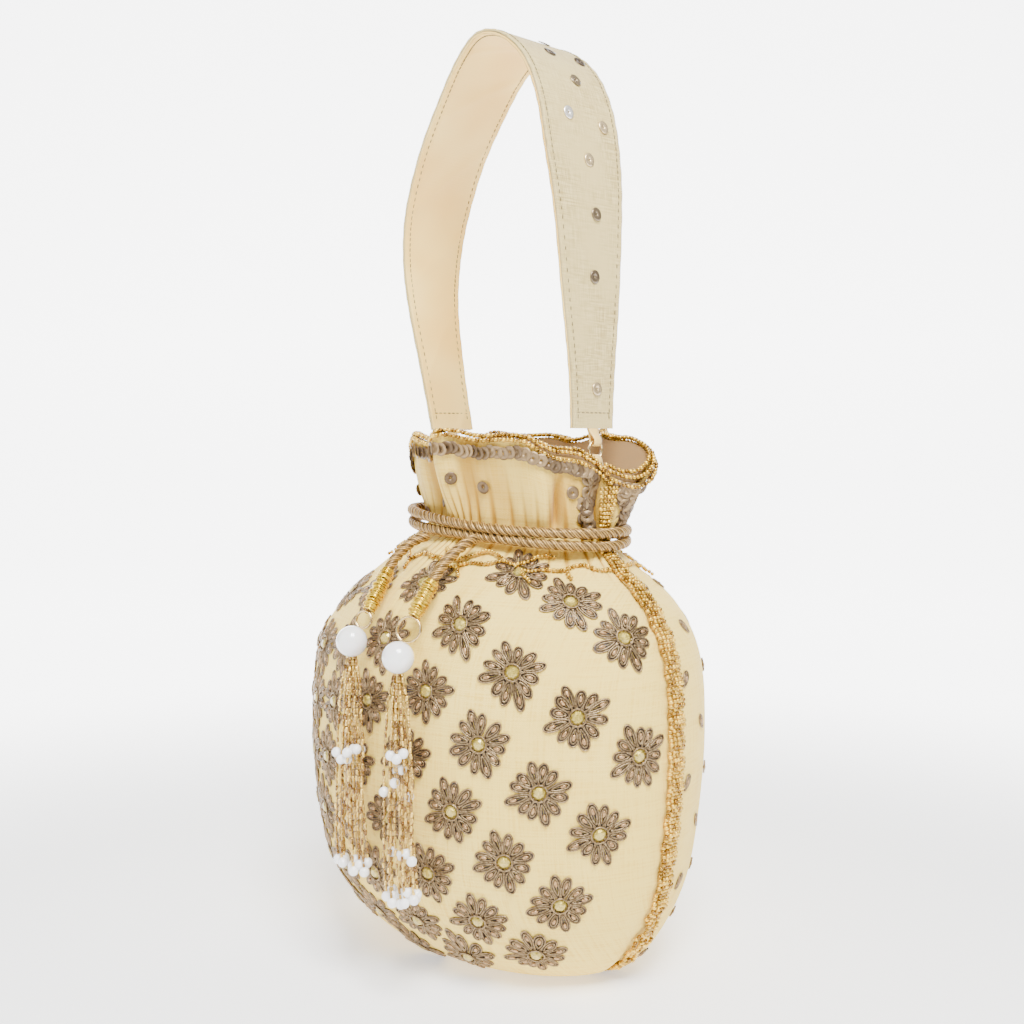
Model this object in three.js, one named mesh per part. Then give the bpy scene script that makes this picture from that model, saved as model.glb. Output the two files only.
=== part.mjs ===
// A potli bag: two silk panels sewn into a round pouch over a lining, gathered at the neck by a
// rope that ends in two pearl tassels, with a frill above it and a stiff strap on two small rings.
// Millimetres, +Z up, origin on the floor under the middle of the pouch. +X points to one side
// seam, the front panel faces -Y.
import * as THREE from 'three';

// ---- driving dimensions ----

// outline of the pouch, from the floor to the neck: height, half-width seam to seam, half-depth
const POUCH = [
  [0, 54, 32], [5, 66, 42], [15, 75, 52], [36, 84, 65.5], [64, 89, 70],
  [95, 91, 70], [125, 88.5, 66], [145, 75.5, 59.5], [160, 58, 45], [171, 46.5, 29.5],
];
const NECK_Z = 171;
const RIM_Z = 209;
const RIM_HALF_WIDTH = 49.5;
const RIM_HALF_DEPTH = 38;
const NECK_LEAN = 8;            // how far the neck has slumped towards +X
const SHOULDER_Z = 120;         // where the slump and the pointing of the neck start
const NECK_POINT = 1.7;         // superellipse power of the neck section; 2 is a plain ellipse
const SLIT_DEPTH = 16;          // how far the rim drops at the side slits
const SLIT_START = 33;          // distance from the neck's middle where that drop starts
const NECK_TILT = 3.5;          // how much lower the neck sits at the +X seam
const BACK_FLARE = 12;          // how far the back of the frill rolls outwards beside the +X slit
const FLARE_TURN = 118;         // where round the rim it rolls furthest, and how widely, in degrees
const FLARE_SPREAD = 17;
const FURROW = 2.8;             // how far the seam is pulled in under the pouch and at its corners
const FURROW_HALF = 4.4;        // half the width of that furrow
const FURROW_TOP = 40;          // height where the side seams are no longer pulled in

const SILK = 1.2;               // panel and its padding
const LINING = 0.8;
const GAP = 0.3;
const ROPE = 4;                 // drawstring diameter
const PEARL = 12;
const BEAD_CORD = 2.2;          // a double row of seed beads, as one round trim
const SEAM_TRIM = { width: 8, thick: 1.6 };
const SEQUIN_BAND = { drop: 5.5, thick: 0.8 };
const SEQUIN = { radius: 2.6, hole: 0.5, thick: 0.5 };

const STRAP = { y: 2, ply: 0.9, endWidth: 23, nearWidth: 43, farWidth: 35 };
const RING = { radius: 3.7, wire: 0.5, z: 204.5, xNear: 50, xFar: -34 };
const LOOP = { outer: 2, inner: 1.3, width: 4 };

// ---- materials ----

const material = (color, roughness, metalness = 0) =>
  new THREE.MeshStandardMaterial({ color, roughness, metalness });
const cream = material(0xf3e0bd, 0.62);
const satin = material(0xf0d6a4, 0.45);
const rawSilk = material(0xd9ccab, 0.55);
const goldBeads = material(0xd8b46a, 0.3, 0.6);
const bronzeSequins = material(0x8d7a5e, 0.35, 0.7);
const metallicRope = material(0xa58f66, 0.55, 0.35);
const goldWire = material(0xcfa928, 0.3, 0.9);
const pearl = material(0xf6f1ee, 0.15);

const bag = new THREE.Group();
function add(name, geometry, look) {
  const mesh = new THREE.Mesh(geometry, look);
  mesh.name = name;
  bag.add(mesh);
  return mesh;
}

// ---- shape of the cloth ----

const pouchCurve = new THREE.CatmullRomCurve3(
  POUCH.map(([z, a, b]) => new THREE.Vector3(a, b, z)), false, 'catmullrom');
const smooth = (x, from, to) => THREE.MathUtils.smoothstep(x, from, to);
const bell = (x, spread) => Math.exp(-((x / spread) ** 2));

// half-width, half-depth and height at row s: 0 to 1 up the pouch, 1 to 2 up the frill
function section(s) {
  if (s <= 1) {
    const p = pouchCurve.getPoint(s);
    return { a: p.x, b: p.y, z: p.z };
  }
  const [, neckWidth, neckDepth] = POUCH[POUCH.length - 1];
  const up = s - 1;
  return {
    a: THREE.MathUtils.lerp(neckWidth, RIM_HALF_WIDTH, up),
    b: THREE.MathUtils.lerp(neckDepth, RIM_HALF_DEPTH, smooth(up, 0, 1)),
    z: THREE.MathUtils.lerp(NECK_Z, RIM_Z, up),
  };
}

const SEAM_SPAN = Math.cos(THREE.MathUtils.degToRad(80));   // the cloth this near a seam is pulled in

// point on the cloth: turn t is 0 at the middle of the front, +90 degrees at the +X seam.
// The surface is moved outwards by off, and kept clear of the seam plane by half a gap.
function skin(t, s, off = 0, apart = 0) {
  const { a, b, z } = section(s);
  const slump = smooth(z, SHOULDER_Z, NECK_Z);
  const power = 2 / THREE.MathUtils.lerp(2, NECK_POINT, slump);
  const sin = Math.sin(t);
  const cos = Math.cos(t);
  const across = (a + off) * Math.sign(sin) * Math.abs(sin) ** power;
  const deep = -(b + off) * Math.sign(cos) * Math.abs(cos) ** power;
  const up = Math.max(0, s - 1);
  const drop = SLIT_DEPTH * Math.max(0, (Math.abs(across) - SLIT_START)
    / (RIM_HALF_WIDTH - SLIT_START)) ** 1.5;
  const flare = BACK_FLARE * up * bell(THREE.MathUtils.radToDeg(t) - FLARE_TURN, FLARE_SPREAD);
  const tilt = NECK_TILT * sin * bell(z - NECK_Z, 18);
  const rise = -off * Math.max(0, 1 - z / 20);
  const pull = Math.abs(cos) < SEAM_SPAN ? FURROW * (1 - smooth(z, 8, FURROW_TOP)) : 0;
  const low = smooth(z, 0, 15);
  return new THREE.Vector3(
    NECK_LEAN * slump + across + flare * Math.SQRT1_2 - pull * low * Math.sign(sin),
    deep + flare * Math.SQRT1_2 + apart * Math.sign(-cos || 1),
    z + rise + pull * (1 - low) - tilt - drop * up);
}

// closed body through equal rings of points. Its two ends are closed as flat strips, because each
// ring runs out along one wall and back along the other, or are left joined to each other.
function loft(rings, joined = false) {
  const count = rings[0].length;
  const positions = rings.flat().flatMap((p) => [p.x, p.y, p.z]);
  const index = [];
  const at = (ring, i) => (ring % rings.length) * count + (i % count);
  for (let ring = 0; ring < rings.length - (joined ? 0 : 1); ring += 1) {
    for (let i = 0; i < count; i += 1) {
      index.push(at(ring, i), at(ring, i + 1), at(ring + 1, i + 1));
      index.push(at(ring, i), at(ring + 1, i + 1), at(ring + 1, i));
    }
  }
  if (!joined) {
    const last = rings.length - 1;
    for (let i = 0; i < count / 2 - 1; i += 1) {
      const j = count - 1 - i;
      index.push(at(0, i), at(0, j), at(0, i + 1), at(0, i + 1), at(0, j), at(0, j - 1));
      index.push(at(last, i), at(last, i + 1), at(last, j));
      index.push(at(last, i + 1), at(last, j - 1), at(last, j));
    }
  }
  const geometry = new THREE.BufferGeometry();
  geometry.setAttribute('position', new THREE.Float32BufferAttribute(positions, 3));
  geometry.setIndex(index);
  if (volume(geometry) < 0) {
    geometry.setIndex(index.reverse());
  }
  geometry.computeVertexNormals();
  return geometry;
}

// signed volume of a closed mesh, positive when its faces point outwards
function volume(geometry) {
  const p = geometry.getAttribute('position');
  const [a, b, c] = [new THREE.Vector3(), new THREE.Vector3(), new THREE.Vector3()];
  let total = 0;
  for (let i = 0; i < geometry.index.count; i += 3) {
    a.fromBufferAttribute(p, geometry.index.getX(i));
    b.fromBufferAttribute(p, geometry.index.getX(i + 1));
    c.fromBufferAttribute(p, geometry.index.getX(i + 2));
    total += a.dot(b.cross(c)) / 6;
  }
  return total;
}

const range = (count, from, to) =>
  Array.from({ length: count + 1 }, (_, i) => from + ((to - from) * i) / count);

// ---- panels and lining ----

const POUCH_ROWS = range(14, 0, 1);
const FRILL_ROWS = range(4, 1, 2).slice(1);
// distances from the bottom seam of the rows that make the flat bottom
const FLOOR_ROWS = [0, FURROW_HALF, 1.8 * FURROW_HALF, 4 * FURROW_HALF];

// turns from one seam to the other, closer together beside the seams, as shares of half a turn
const HALF_TURN = [0, 0.05, ...range(10, 0.11, 0.89), 0.95, 1];

// a point of the flat bottom, pulled up into a furrow beside the middle seam
function bottom(t, reach, off, apart) {
  const edge = skin(t, 0, off);
  const side = Math.sign(-Math.cos(t) || 1);
  const furrow = reach <= FURROW_HALF ? FURROW - off : 0;
  return new THREE.Vector3(
    edge.x,
    side * (Math.min(reach, Math.abs(edge.y)) + apart),
    Math.max(edge.z, furrow));
}

function panel(side) {
  const middle = side > 0 ? 0 : Math.PI;
  const turns = HALF_TURN.map((share) => middle + (share - 0.5) * (Math.PI - 2e-9));
  const wall = (row) => [
    ...turns.map((t) => row(t, 0)),
    ...turns.map((t) => row(t, -SILK)).reverse(),
  ];
  return loft([
    ...FLOOR_ROWS.map((reach) => wall((t, off) => bottom(t, reach, off, GAP / 2))),
    ...POUCH_ROWS.map((s) => wall((t, off) => skin(t, s, off, GAP / 2))),
    ...FRILL_ROWS.map((s) => wall((t, off) => skin(t, s, off, GAP / 2))),
  ]);
}
add('front_panel', panel(1), cream);
add('back_panel', panel(-1), cream);

// one lining bag: its outer wall from the rim down to the floor, then its inner wall back up
function liningBag() {
  const turns = [0, 1].flatMap((half) =>
    HALF_TURN.slice(0, -1).map((share) => (half + share - 0.5) * Math.PI));
  const wall = (off) => [...POUCH_ROWS, ...FRILL_ROWS].map((s) => turns.map((t) => {
    const p = skin(t, s, off);
    p.z += FURROW * Math.max(0, 1 - 9 * s);
    return p;
  }));
  const floor = (ring, share) => ring.map((p) =>
    new THREE.Vector3(p.x * share, p.y * share, Math.max(...ring.map((q) => q.z))));
  const outside = wall(-SILK - GAP);
  const inside = wall(-SILK - GAP - LINING);
  return loft([
    ...[...outside].reverse(), floor(outside[0], 0.7), floor(outside[0], 0),
    floor(inside[0], 0), floor(inside[0], 0.7), ...inside,
  ], true);
}
add('lining', liningBag(), satin);

// ---- beaded trims ----

// a strip lying on the cloth: for each step its four corners, between two offsets
function strip(steps, corners) {
  return loft(steps.map(corners));
}

// band of bead strands over the side seams and under the bottom, in the plane y = 0
const TRIM_TOP = 1.88;          // row of the frill where it stops, short of the rim
const TRIM_FLOOR_REACH = 46;    // where it runs level under the bottom, to each side
function seamTrim() {
  const up = range(40, 0, TRIM_TOP);
  const inner = 0.8;
  const edge = (turn) => (off) => up.map((s) => skin(turn, s, off));
  const near = edge(Math.PI / 2);
  const far = edge(-Math.PI / 2);
  const floor = (z) => range(6, -TRIM_FLOOR_REACH, TRIM_FLOOR_REACH).map((x) => new THREE.Vector3(x, 0, z));
  const path = (off, floorZ) => [...far(off).reverse(), ...floor(floorZ), ...near(off)];
  const low = path(inner + SEAM_TRIM.thick, GAP);
  const high = path(inner, GAP + SEAM_TRIM.thick);
  const half = new THREE.Vector3(0, SEAM_TRIM.width / 2, 0);
  return loft(low.map((p, i) => [
    p.clone().sub(half), p.clone().add(half), high[i].clone().add(half), high[i].clone().sub(half),
  ]));
}
add('seam_beads', seamTrim(), goldBeads);

const FRONT = range(40, -0.49 * Math.PI, 0.49 * Math.PI);
const BACK = range(40, 0.51 * Math.PI, 1.49 * Math.PI);

function tube(points, radius, steps, closed = false) {
  const curve = new THREE.CatmullRomCurve3(points, closed, 'catmullrom');
  const circle = new THREE.Shape().absarc(0, 0, radius, 0, 2 * Math.PI);
  return new THREE.ExtrudeGeometry(circle, { steps, curveSegments: 4, extrudePath: curve });
}

// two rows of seed beads sewn along the rim, over the edge of the panel and its lining
function rimBeads(turns) {
  const wallMiddle = -(SILK + GAP + LINING) / 2;
  return tube(turns.map((t) => {
    const p = skin(t, 2, wallMiddle, GAP / 2);
    p.z += BEAD_CORD / 2 + 4 * GAP;
    return p;
  }), BEAD_CORD / 2, 36);
}
add('rim_beads_front', rimBeads(FRONT), goldBeads);
add('rim_beads_back', rimBeads(BACK), goldBeads);

// row of overlapping sequins just under the rim
function sequinBand(turns) {
  const top = 1.97;
  const bottomRow = top - SEQUIN_BAND.drop / (RIM_Z - NECK_Z);
  const back = GAP + 0.1;
  const face = back + SEQUIN_BAND.thick;
  return strip(turns, (t) => [
    skin(t, top, face, 0.5), skin(t, bottomRow, face, 0.5),
    skin(t, bottomRow, back, 0.5), skin(t, top, back, 0.5),
  ]);
}
add('sequin_band_front', sequinBand(range(24, -0.44 * Math.PI, 0.44 * Math.PI)), bronzeSequins);
add('sequin_band_back', sequinBand(range(24, 0.56 * Math.PI, 1.44 * Math.PI)), bronzeSequins);

// wavy line of gold beads on the shoulder, just below the rope
const GARLAND = { row: 0.91, wave: 0.012, wavesPerTurn: 10, clear: 2, radius: 0.9 };
function garland(from, to) {
  return tube(range(30, from, to).map((t) => {
    const wave = GARLAND.wave * Math.cos(GARLAND.wavesPerTurn * (t - from));
    return skin(t, GARLAND.row + wave, GARLAND.clear);
  }), GARLAND.radius, 36);
}
add('garland_front', garland(-0.4 * Math.PI, 0.4 * Math.PI), goldBeads);
add('garland_back', garland(0.6 * Math.PI, 1.4 * Math.PI), goldBeads);

// ---- drawstring ----

// the rope lies twice round the neck, one turn above the other, over the seam trims
const TURN_HEIGHTS = { upper: 5.1, lower: 0.8 };    // above the neck
const SLACK = 1.8;                                  // room between the rope and the gathered cloth
function ropeTurn(z) {
  const clear = ROPE / 2 + GAP + 0.2 + SLACK;
  const [, a, b] = POUCH[POUCH.length - 1];
  return tube(range(28, 0, 2 * Math.PI).slice(0, -1).map((t) => new THREE.Vector3(
    NECK_LEAN + (a + clear + SEAM_TRIM.thick) * Math.sin(t),
    -(b + clear) * Math.cos(t),
    z - NECK_TILT * Math.sin(t))), ROPE / 2, 46, true);
}
add('drawstring_upper', ropeTurn(NECK_Z + TURN_HEIGHTS.upper), metallicRope);
add('drawstring_lower', ropeTurn(NECK_Z + TURN_HEIGHTS.lower), metallicRope);

// Each tail leaves the neck, lies on the shoulder and ends in a wire whipping, a ring and a pearl.
// Its route is a list of places from the rope to the whipping, which the whipping carries on.
const TAILS = {
  left: {
    route: [[-2, -38.3, 171], [-6, -44.2, 168], [-7.6, -49.4, 163.5], [-6.6, -55, 158.6]],
    whipping: [[-6.5, -55.6, 158.1], [-4.6, -67.2, 142.8]],
    pearl: [-8, -72.6, 131.5],
    tip: [0, -78, 45],
  },
  right: {
    route: [[23, -36.3, 171], [23.6, -43.4, 168.5], [22.6, -50.6, 163.5], [22.3, -57.2, 156.6]],
    whipping: [[22.3, -57.8, 156], [22.2, -67, 143.4]],
    pearl: [20.4, -73, 128.8],
    tip: [27, -76.5, 39],
  },
};
const WHIPPING_RADIUS = 2.9;
const TASSEL_RING = { wire: 0.55 };
const at = (place) => new THREE.Vector3(...place);

// round taper between two points
function between(from, to, radiusFrom, radiusTo) {
  const geometry = new THREE.CylinderGeometry(radiusTo, radiusFrom, from.distanceTo(to), 12);
  const turn = new THREE.Quaternion().setFromUnitVectors(
    new THREE.Vector3(0, 1, 0), to.clone().sub(from).normalize());
  geometry.applyQuaternion(turn);
  const middle = from.clone().add(to).multiplyScalar(0.5);
  return geometry.translate(middle.x, middle.y, middle.z);
}

// bundle of bead strings, hanging from the pearl down over the belly of the pouch. It is flatter
// than it is wide, and widens downwards: share of its length, half-width.
const FRINGE = [[0, 3.2], [0.12, 5], [0.45, 7.5], [0.85, 8.5], [1, 7.5]];
const FRINGE_FLAT = 0.62;
function fringe(top, tip) {
  const sides = 12;
  return loftCapped(FRINGE.map(([down, radius]) => {
    const centre = top.clone().lerp(tip, down);
    centre.y = top.y + (tip.y - top.y) * Math.sin(down * Math.PI / 2);
    return range(sides, 0, 2 * Math.PI).slice(0, -1).map((turn) => new THREE.Vector3(
      centre.x + radius * Math.cos(turn),
      centre.y + FRINGE_FLAT * radius * Math.sin(turn),
      centre.z));
  }));
}

// closed body through rings, with each end closed by a fan
function loftCapped(rings) {
  const ends = [rings[0], rings[rings.length - 1]].map((ring) =>
    ring.reduce((sum, p) => sum.add(p), new THREE.Vector3()).divideScalar(ring.length));
  const count = rings[0].length;
  const points = [...rings.flat(), ...ends];
  const index = [];
  rings.slice(1).forEach((_, ring) => {
    for (let i = 0; i < count; i += 1) {
      const [a, b] = [ring * count + i, ring * count + ((i + 1) % count)];
      index.push(a, b, b + count, a, b + count, a + count);
    }
  });
  const lastRing = (rings.length - 1) * count;
  for (let i = 0; i < count; i += 1) {
    const next = (i + 1) % count;
    index.push(next, i, rings.length * count);
    index.push(lastRing + i, lastRing + next, rings.length * count + 1);
  }
  const geometry = new THREE.BufferGeometry();
  geometry.setAttribute('position',
    new THREE.Float32BufferAttribute(points.flatMap((p) => [p.x, p.y, p.z]), 3));
  geometry.setIndex(index);
  if (volume(geometry) < 0) {
    geometry.setIndex(index.reverse());
  }
  geometry.computeVertexNormals();
  return geometry;
}

for (const [side, tail] of Object.entries(TAILS)) {
  const route = tail.route.map(at);
  add(`drawstring_tail_${side}`, tube(route, ROPE / 2, 10), metallicRope);

  const [start, end] = tail.whipping.map(at);
  const along = end.clone().sub(start).normalize();
  const whipStart = route[route.length - 1].clone().addScaledVector(along, GAP + 0.1);
  add(`whipping_${side}`, between(whipStart, end, WHIPPING_RADIUS, WHIPPING_RADIUS - 0.5), goldWire);

  const centre = at(tail.pearl);
  const gapToPearl = end.distanceTo(centre) - PEARL / 2;
  const { wire } = TASSEL_RING;
  const toPearl = centre.clone().sub(end).normalize();
  const faces = new THREE.Vector3(0.5, -1, 0.4).cross(toPearl).cross(toPearl);
  const ring = add(`tassel_ring_${side}`,
    new THREE.TorusGeometry(gapToPearl / 2 - GAP - wire, wire, 8, 16), goldWire);
  ring.position.copy(end).addScaledVector(toPearl, gapToPearl / 2);
  ring.lookAt(ring.position.clone().add(faces));

  add(`tassel_pearl_${side}`, new THREE.SphereGeometry(PEARL / 2, 16, 12), pearl)
    .position.copy(centre);
  const top = centre.clone().setZ(centre.z - PEARL / 2 - GAP);
  add(`tassel_fringe_${side}`, fringe(top, at(tail.tip)), goldBeads);
}

// ---- strap ----

// centre line of the strap in the plane y = STRAP.y, from the near end over the top to the far end
const strapCurve = new THREE.CatmullRomCurve3([
  [48, 213], [48, 237], [47.4, 262], [46, 296], [43.2, 319], [39, 339], [31, 355], [18, 366],
  [4, 369], [-8, 362], [-20, 348], [-33, 329], [-43, 306], [-46.5, 286], [-45.5, 266],
  [-40, 240], [-33.5, 213],
].map(([x, z]) => new THREE.Vector3(x, STRAP.y, z)), false, 'catmullrom');

// half-width of the strap: it broadens from each end, to more on the near leg than on the far one
const strapHalf = (along) => THREE.MathUtils.lerp(
  STRAP.endWidth,
  THREE.MathUtils.lerp(STRAP.nearWidth, STRAP.farWidth, smooth(along, 0.3, 0.8)),
  smooth(Math.min(along, 1 - along), 0, 0.28)) / 2;

// one ply of the strap between two distances from its centre line, positive on the outside
function strapPly(inner, outer) {
  return loft(range(40, 0, 1).map((along) => {
    const p = strapCurve.getPoint(along);
    const forward = strapCurve.getTangent(along);
    const out = new THREE.Vector3(forward.z, 0, -forward.x);
    const half = new THREE.Vector3(0, strapHalf(along), 0);
    const [low, high] = [inner, outer].map((d) => p.clone().addScaledVector(out, d));
    return [
      low.clone().sub(half), low.clone().add(half), high.clone().add(half), high.clone().sub(half),
    ];
  }));
}
add('strap_outer', strapPly(GAP / 2, GAP / 2 + STRAP.ply), rawSilk);
add('strap_lining', strapPly(-GAP / 2 - STRAP.ply, -GAP / 2), satin);

// cup sequins sewn down the outside of the strap: distance along it, and across from its middle
const STRAP_SEQUINS = [
  [0.04, 1.5], [0.143, 1], [0.187, 3], [0.243, 1.5], [0.287, 12.5],
  [0.295, -7], [0.348, 3], [0.395, 14], [0.4, -2], [0.44, 4],
];
function sequin() {
  const { radius, hole, thick } = SEQUIN;
  const cup = 0.45;             // height of the edge over the middle
  return new THREE.LatheGeometry([
    [hole, 0], [radius * 0.6, 0.1], [radius, cup], [radius, cup + thick * 0.6],
    [radius * 0.6, 0.1 + thick], [hole, thick], [hole, 0],
  ].map(([r, y]) => new THREE.Vector2(r, y)), 12);
}
STRAP_SEQUINS.forEach(([along, across], i) => {
  const p = strapCurve.getPoint(along);
  const forward = strapCurve.getTangent(along);
  const out = new THREE.Vector3(forward.z, 0, -forward.x);
  const mesh = add(`strap_sequin_${i + 1}`, sequin(), bronzeSequins);
  mesh.position.copy(p).addScaledVector(out, 1.5 * GAP + STRAP.ply + 0.1);
  mesh.position.y += across;
  mesh.quaternion.setFromUnitVectors(new THREE.Vector3(0, 1, 0), out);
});

// a folded strip of cloth that holds a ring: an eye round the ring's wire and a tail, cut out of
// the plane of the strap and as wide as the strip
function foldedLoop(eye, tailEnd, tailHalf) {
  const toTail = new THREE.Vector2(tailEnd[0] - eye[0], tailEnd[1] - eye[1]);
  const length = toTail.length();
  const arcStart = Math.PI / 3;
  const profile = new THREE.Shape();
  profile.absarc(0, 0, LOOP.outer, arcStart, 2 * Math.PI - arcStart, false);
  profile.lineTo(length, -tailHalf);
  profile.lineTo(length, tailHalf);
  profile.closePath();
  profile.holes.push(new THREE.Path().absarc(0, 0, LOOP.inner, 0, 2 * Math.PI, true));
  const geometry = new THREE.ExtrudeGeometry(profile, {
    depth: LOOP.width, bevelEnabled: false, curveSegments: 8,
  });
  geometry.translate(0, 0, -LOOP.width / 2);
  geometry.rotateZ(toTail.angle());
  geometry.rotateX(Math.PI / 2);
  return geometry.translate(eye[0], STRAP.y, eye[1]);
}

const ringTop = RING.z + RING.radius;
const ringBottom = RING.z - RING.radius;
const EYE_DROP = 0.3;           // sag of a ring's wire across the width of a loop, halved
for (const [side, x, strapEnd, wall] of [
  ['near', RING.xNear, [48.3, 212.6], [53, 195.5]],
  ['far', RING.xFar, [-33.2, 212.6], [-37, 195.5]],
]) {
  add(`strap_tab_${side}`, foldedLoop([x, ringTop - EYE_DROP], strapEnd, 1), satin);
  const ring = add(`strap_ring_${side}`,
    new THREE.TorusGeometry(RING.radius, RING.wire, 8, 22), goldWire);
  ring.position.set(x, STRAP.y, RING.z);
  ring.rotation.y = Math.PI / 2;
  add(`anchor_loop_${side}`, foldedLoop([x, ringBottom + EYE_DROP], wall, 0.8), satin);
}

export default bag;
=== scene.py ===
import math

import bmesh
import bpy
import numpy as np
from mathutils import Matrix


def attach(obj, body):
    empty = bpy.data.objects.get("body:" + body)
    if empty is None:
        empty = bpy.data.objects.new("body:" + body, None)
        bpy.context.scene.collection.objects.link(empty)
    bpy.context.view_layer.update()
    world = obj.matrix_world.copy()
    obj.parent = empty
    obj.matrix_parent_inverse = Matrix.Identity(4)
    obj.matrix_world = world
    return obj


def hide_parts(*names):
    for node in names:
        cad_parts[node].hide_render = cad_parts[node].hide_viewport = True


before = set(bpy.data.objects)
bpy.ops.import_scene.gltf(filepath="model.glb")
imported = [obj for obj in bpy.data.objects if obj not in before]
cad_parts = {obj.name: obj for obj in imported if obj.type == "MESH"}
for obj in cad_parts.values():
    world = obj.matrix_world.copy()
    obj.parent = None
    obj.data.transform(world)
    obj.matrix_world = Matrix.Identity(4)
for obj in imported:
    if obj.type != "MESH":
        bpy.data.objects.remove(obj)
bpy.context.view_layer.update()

# ---- camera ----
# It stands at the corner between the front panel and the near side seam, level with the rim,
# and looks slightly down. Lengths in this script are millimetres until a mesh is made.
MM = 0.001
CAMERA_PLACE = (374.06, -361.22, 208.5)
CAMERA_PITCH, CAMERA_TURN = 86.7, 45.56
camera = bpy.data.objects.new("camera", bpy.data.cameras.new("camera"))
camera.data.sensor_width = 36
camera.data.lens = 43.875
camera.location = [c * MM for c in CAMERA_PLACE]
camera.rotation_euler = (math.radians(CAMERA_PITCH), 0, math.radians(CAMERA_TURN))
bpy.context.scene.collection.objects.link(camera)
bpy.context.scene.camera = camera


# ---- drawstring tails ----
# The two ends of the drawstring: a rope of three metallic plies twisted together, which leaves
# the neck and lies on the shoulder of the pouch. Each end runs on inside its wire whipping.
ROPE = 4.0
PLIES = 3
ROPE_PITCH = 9.5
TAILS = {
    "left": dict(
        route=[[-2, -38.3, 171], [-6, -44.2, 168], [-7.6, -49.4, 163.5], [-6.6, -55, 158.6]],
        whipping=[[-6.5, -55.6, 158.1], [-4.6, -67.2, 142.8]],
        pearl=[-8, -72.6, 131.5], tip=[0, -78, 45]),
    "right": dict(
        route=[[23, -36.3, 171], [23.6, -43.4, 168.5], [22.6, -50.6, 163.5], [22.3, -57.2, 156.6]],
        whipping=[[22.3, -57.8, 156], [22.2, -67, 143.4]],
        pearl=[20.4, -73, 128.8], tip=[27, -76.5, 39]),
}


def unit(vectors):
    """Vectors of length one in the same directions."""
    return vectors / np.linalg.norm(vectors, axis=-1, keepdims=True)


def through(points, share):
    """Curve through the points, a share of 0 to 1 along it: each span is the cubic whose slope at
    a point is half the step between its two neighbours. The ends run straight on."""
    points = np.asarray(points, float)
    line = np.vstack([2 * points[:1] - points[1:2], points, 2 * points[-1:] - points[-2:-1]])
    at = np.clip(share, 0, 1) * (len(points) - 1)
    i = np.minimum(at.astype(int), len(points) - 2)
    f = (at - i)[..., None]
    a, b, c, d = line[i], line[i + 1], line[i + 2], line[i + 3]
    return 0.5 * (2 * b + (c - a) * f + (2 * a - 5 * b + 4 * c - d) * f**2
                  + (3 * b - a - 3 * c + d) * f**3)


def spaced(path, step, closed=False):
    """The same line again with points an even step apart, and how far along each one is."""
    if closed:
        path = np.vstack([path, path[:1]])
    run = np.concatenate([[0], np.cumsum(np.linalg.norm(np.diff(path, axis=0), axis=1))])
    count = max(2, round(run[-1] / step) + 1)
    along = np.linspace(0, run[-1], count)
    if closed:
        along = along[:-1]
    return np.stack([np.interp(along, run, path[:, k]) for k in range(3)], axis=1), along


def across_path(path, reference, closed=False):
    """Direction of a line at each of its points, and two directions square to it: one to the side,
    and one as near to the reference direction as can be."""
    if closed:
        ahead = unit(np.roll(path, -1, axis=0) - np.roll(path, 1, axis=0))
    else:
        ahead = unit(np.gradient(path, axis=0))
    side = unit(np.cross(reference, ahead))
    return ahead, side, np.cross(ahead, side)


def grid(rows, columns, wrap_rows=False, wrap_columns=False):
    """Four-cornered faces over rows and columns of points, and the row and column that each corner
    counts as, which run on past a wrapped edge, as a pattern on the face has to."""
    r, c = np.meshgrid(np.arange(rows - (not wrap_rows)), np.arange(columns - (not wrap_columns)),
                       indexing="ij")
    corner_rows = np.stack([r, r, r + 1, r + 1], axis=-1).reshape(-1, 4)
    corner_columns = np.stack([c, c + 1, c + 1, c], axis=-1).reshape(-1, 4)
    faces = (corner_rows % rows) * columns + corner_columns % columns
    return faces, corner_rows, corner_columns


def piece(name, points, faces, finish, uv=None, values=None, merge=False, smooth=True):
    """A mesh object from points in millimetres and faces with equal numbers of corners. uv holds
    two numbers for each corner of each face, values one number for each point."""
    mesh = bpy.data.meshes.new(name)
    points = np.asarray(points, float).reshape(-1, 3) * MM
    count, corners = faces.shape
    mesh.vertices.add(len(points))
    mesh.vertices.foreach_set("co", points.ravel())
    mesh.loops.add(count * corners)
    mesh.loops.foreach_set("vertex_index", faces.astype(np.int32).ravel())
    mesh.polygons.add(count)
    mesh.polygons.foreach_set("loop_start", np.arange(0, count * corners, corners, np.int32))
    mesh.update(calc_edges=True)
    if uv is not None:
        mesh.uv_layers.new(name="cloth").data.foreach_set("uv", np.asarray(uv, float).ravel())
    for key, numbers in (values or {}).items():
        attribute = mesh.attributes.new(key, "FLOAT", "POINT")
        attribute.data.foreach_set("value", np.asarray(numbers, np.float32).ravel())
    mesh.validate()
    if merge:
        shape = bmesh.new()
        shape.from_mesh(mesh)
        bmesh.ops.remove_doubles(shape, verts=shape.verts, dist=1e-6)
        bmesh.ops.recalc_face_normals(shape, faces=shape.faces)
        shape.to_mesh(mesh)
        shape.free()
    mesh.polygons.foreach_set("use_smooth", np.full(len(mesh.polygons), smooth))
    mesh.materials.append(finish)
    made = bpy.data.objects.new(name, mesh)
    bpy.context.scene.collection.objects.link(made)
    return made


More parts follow.
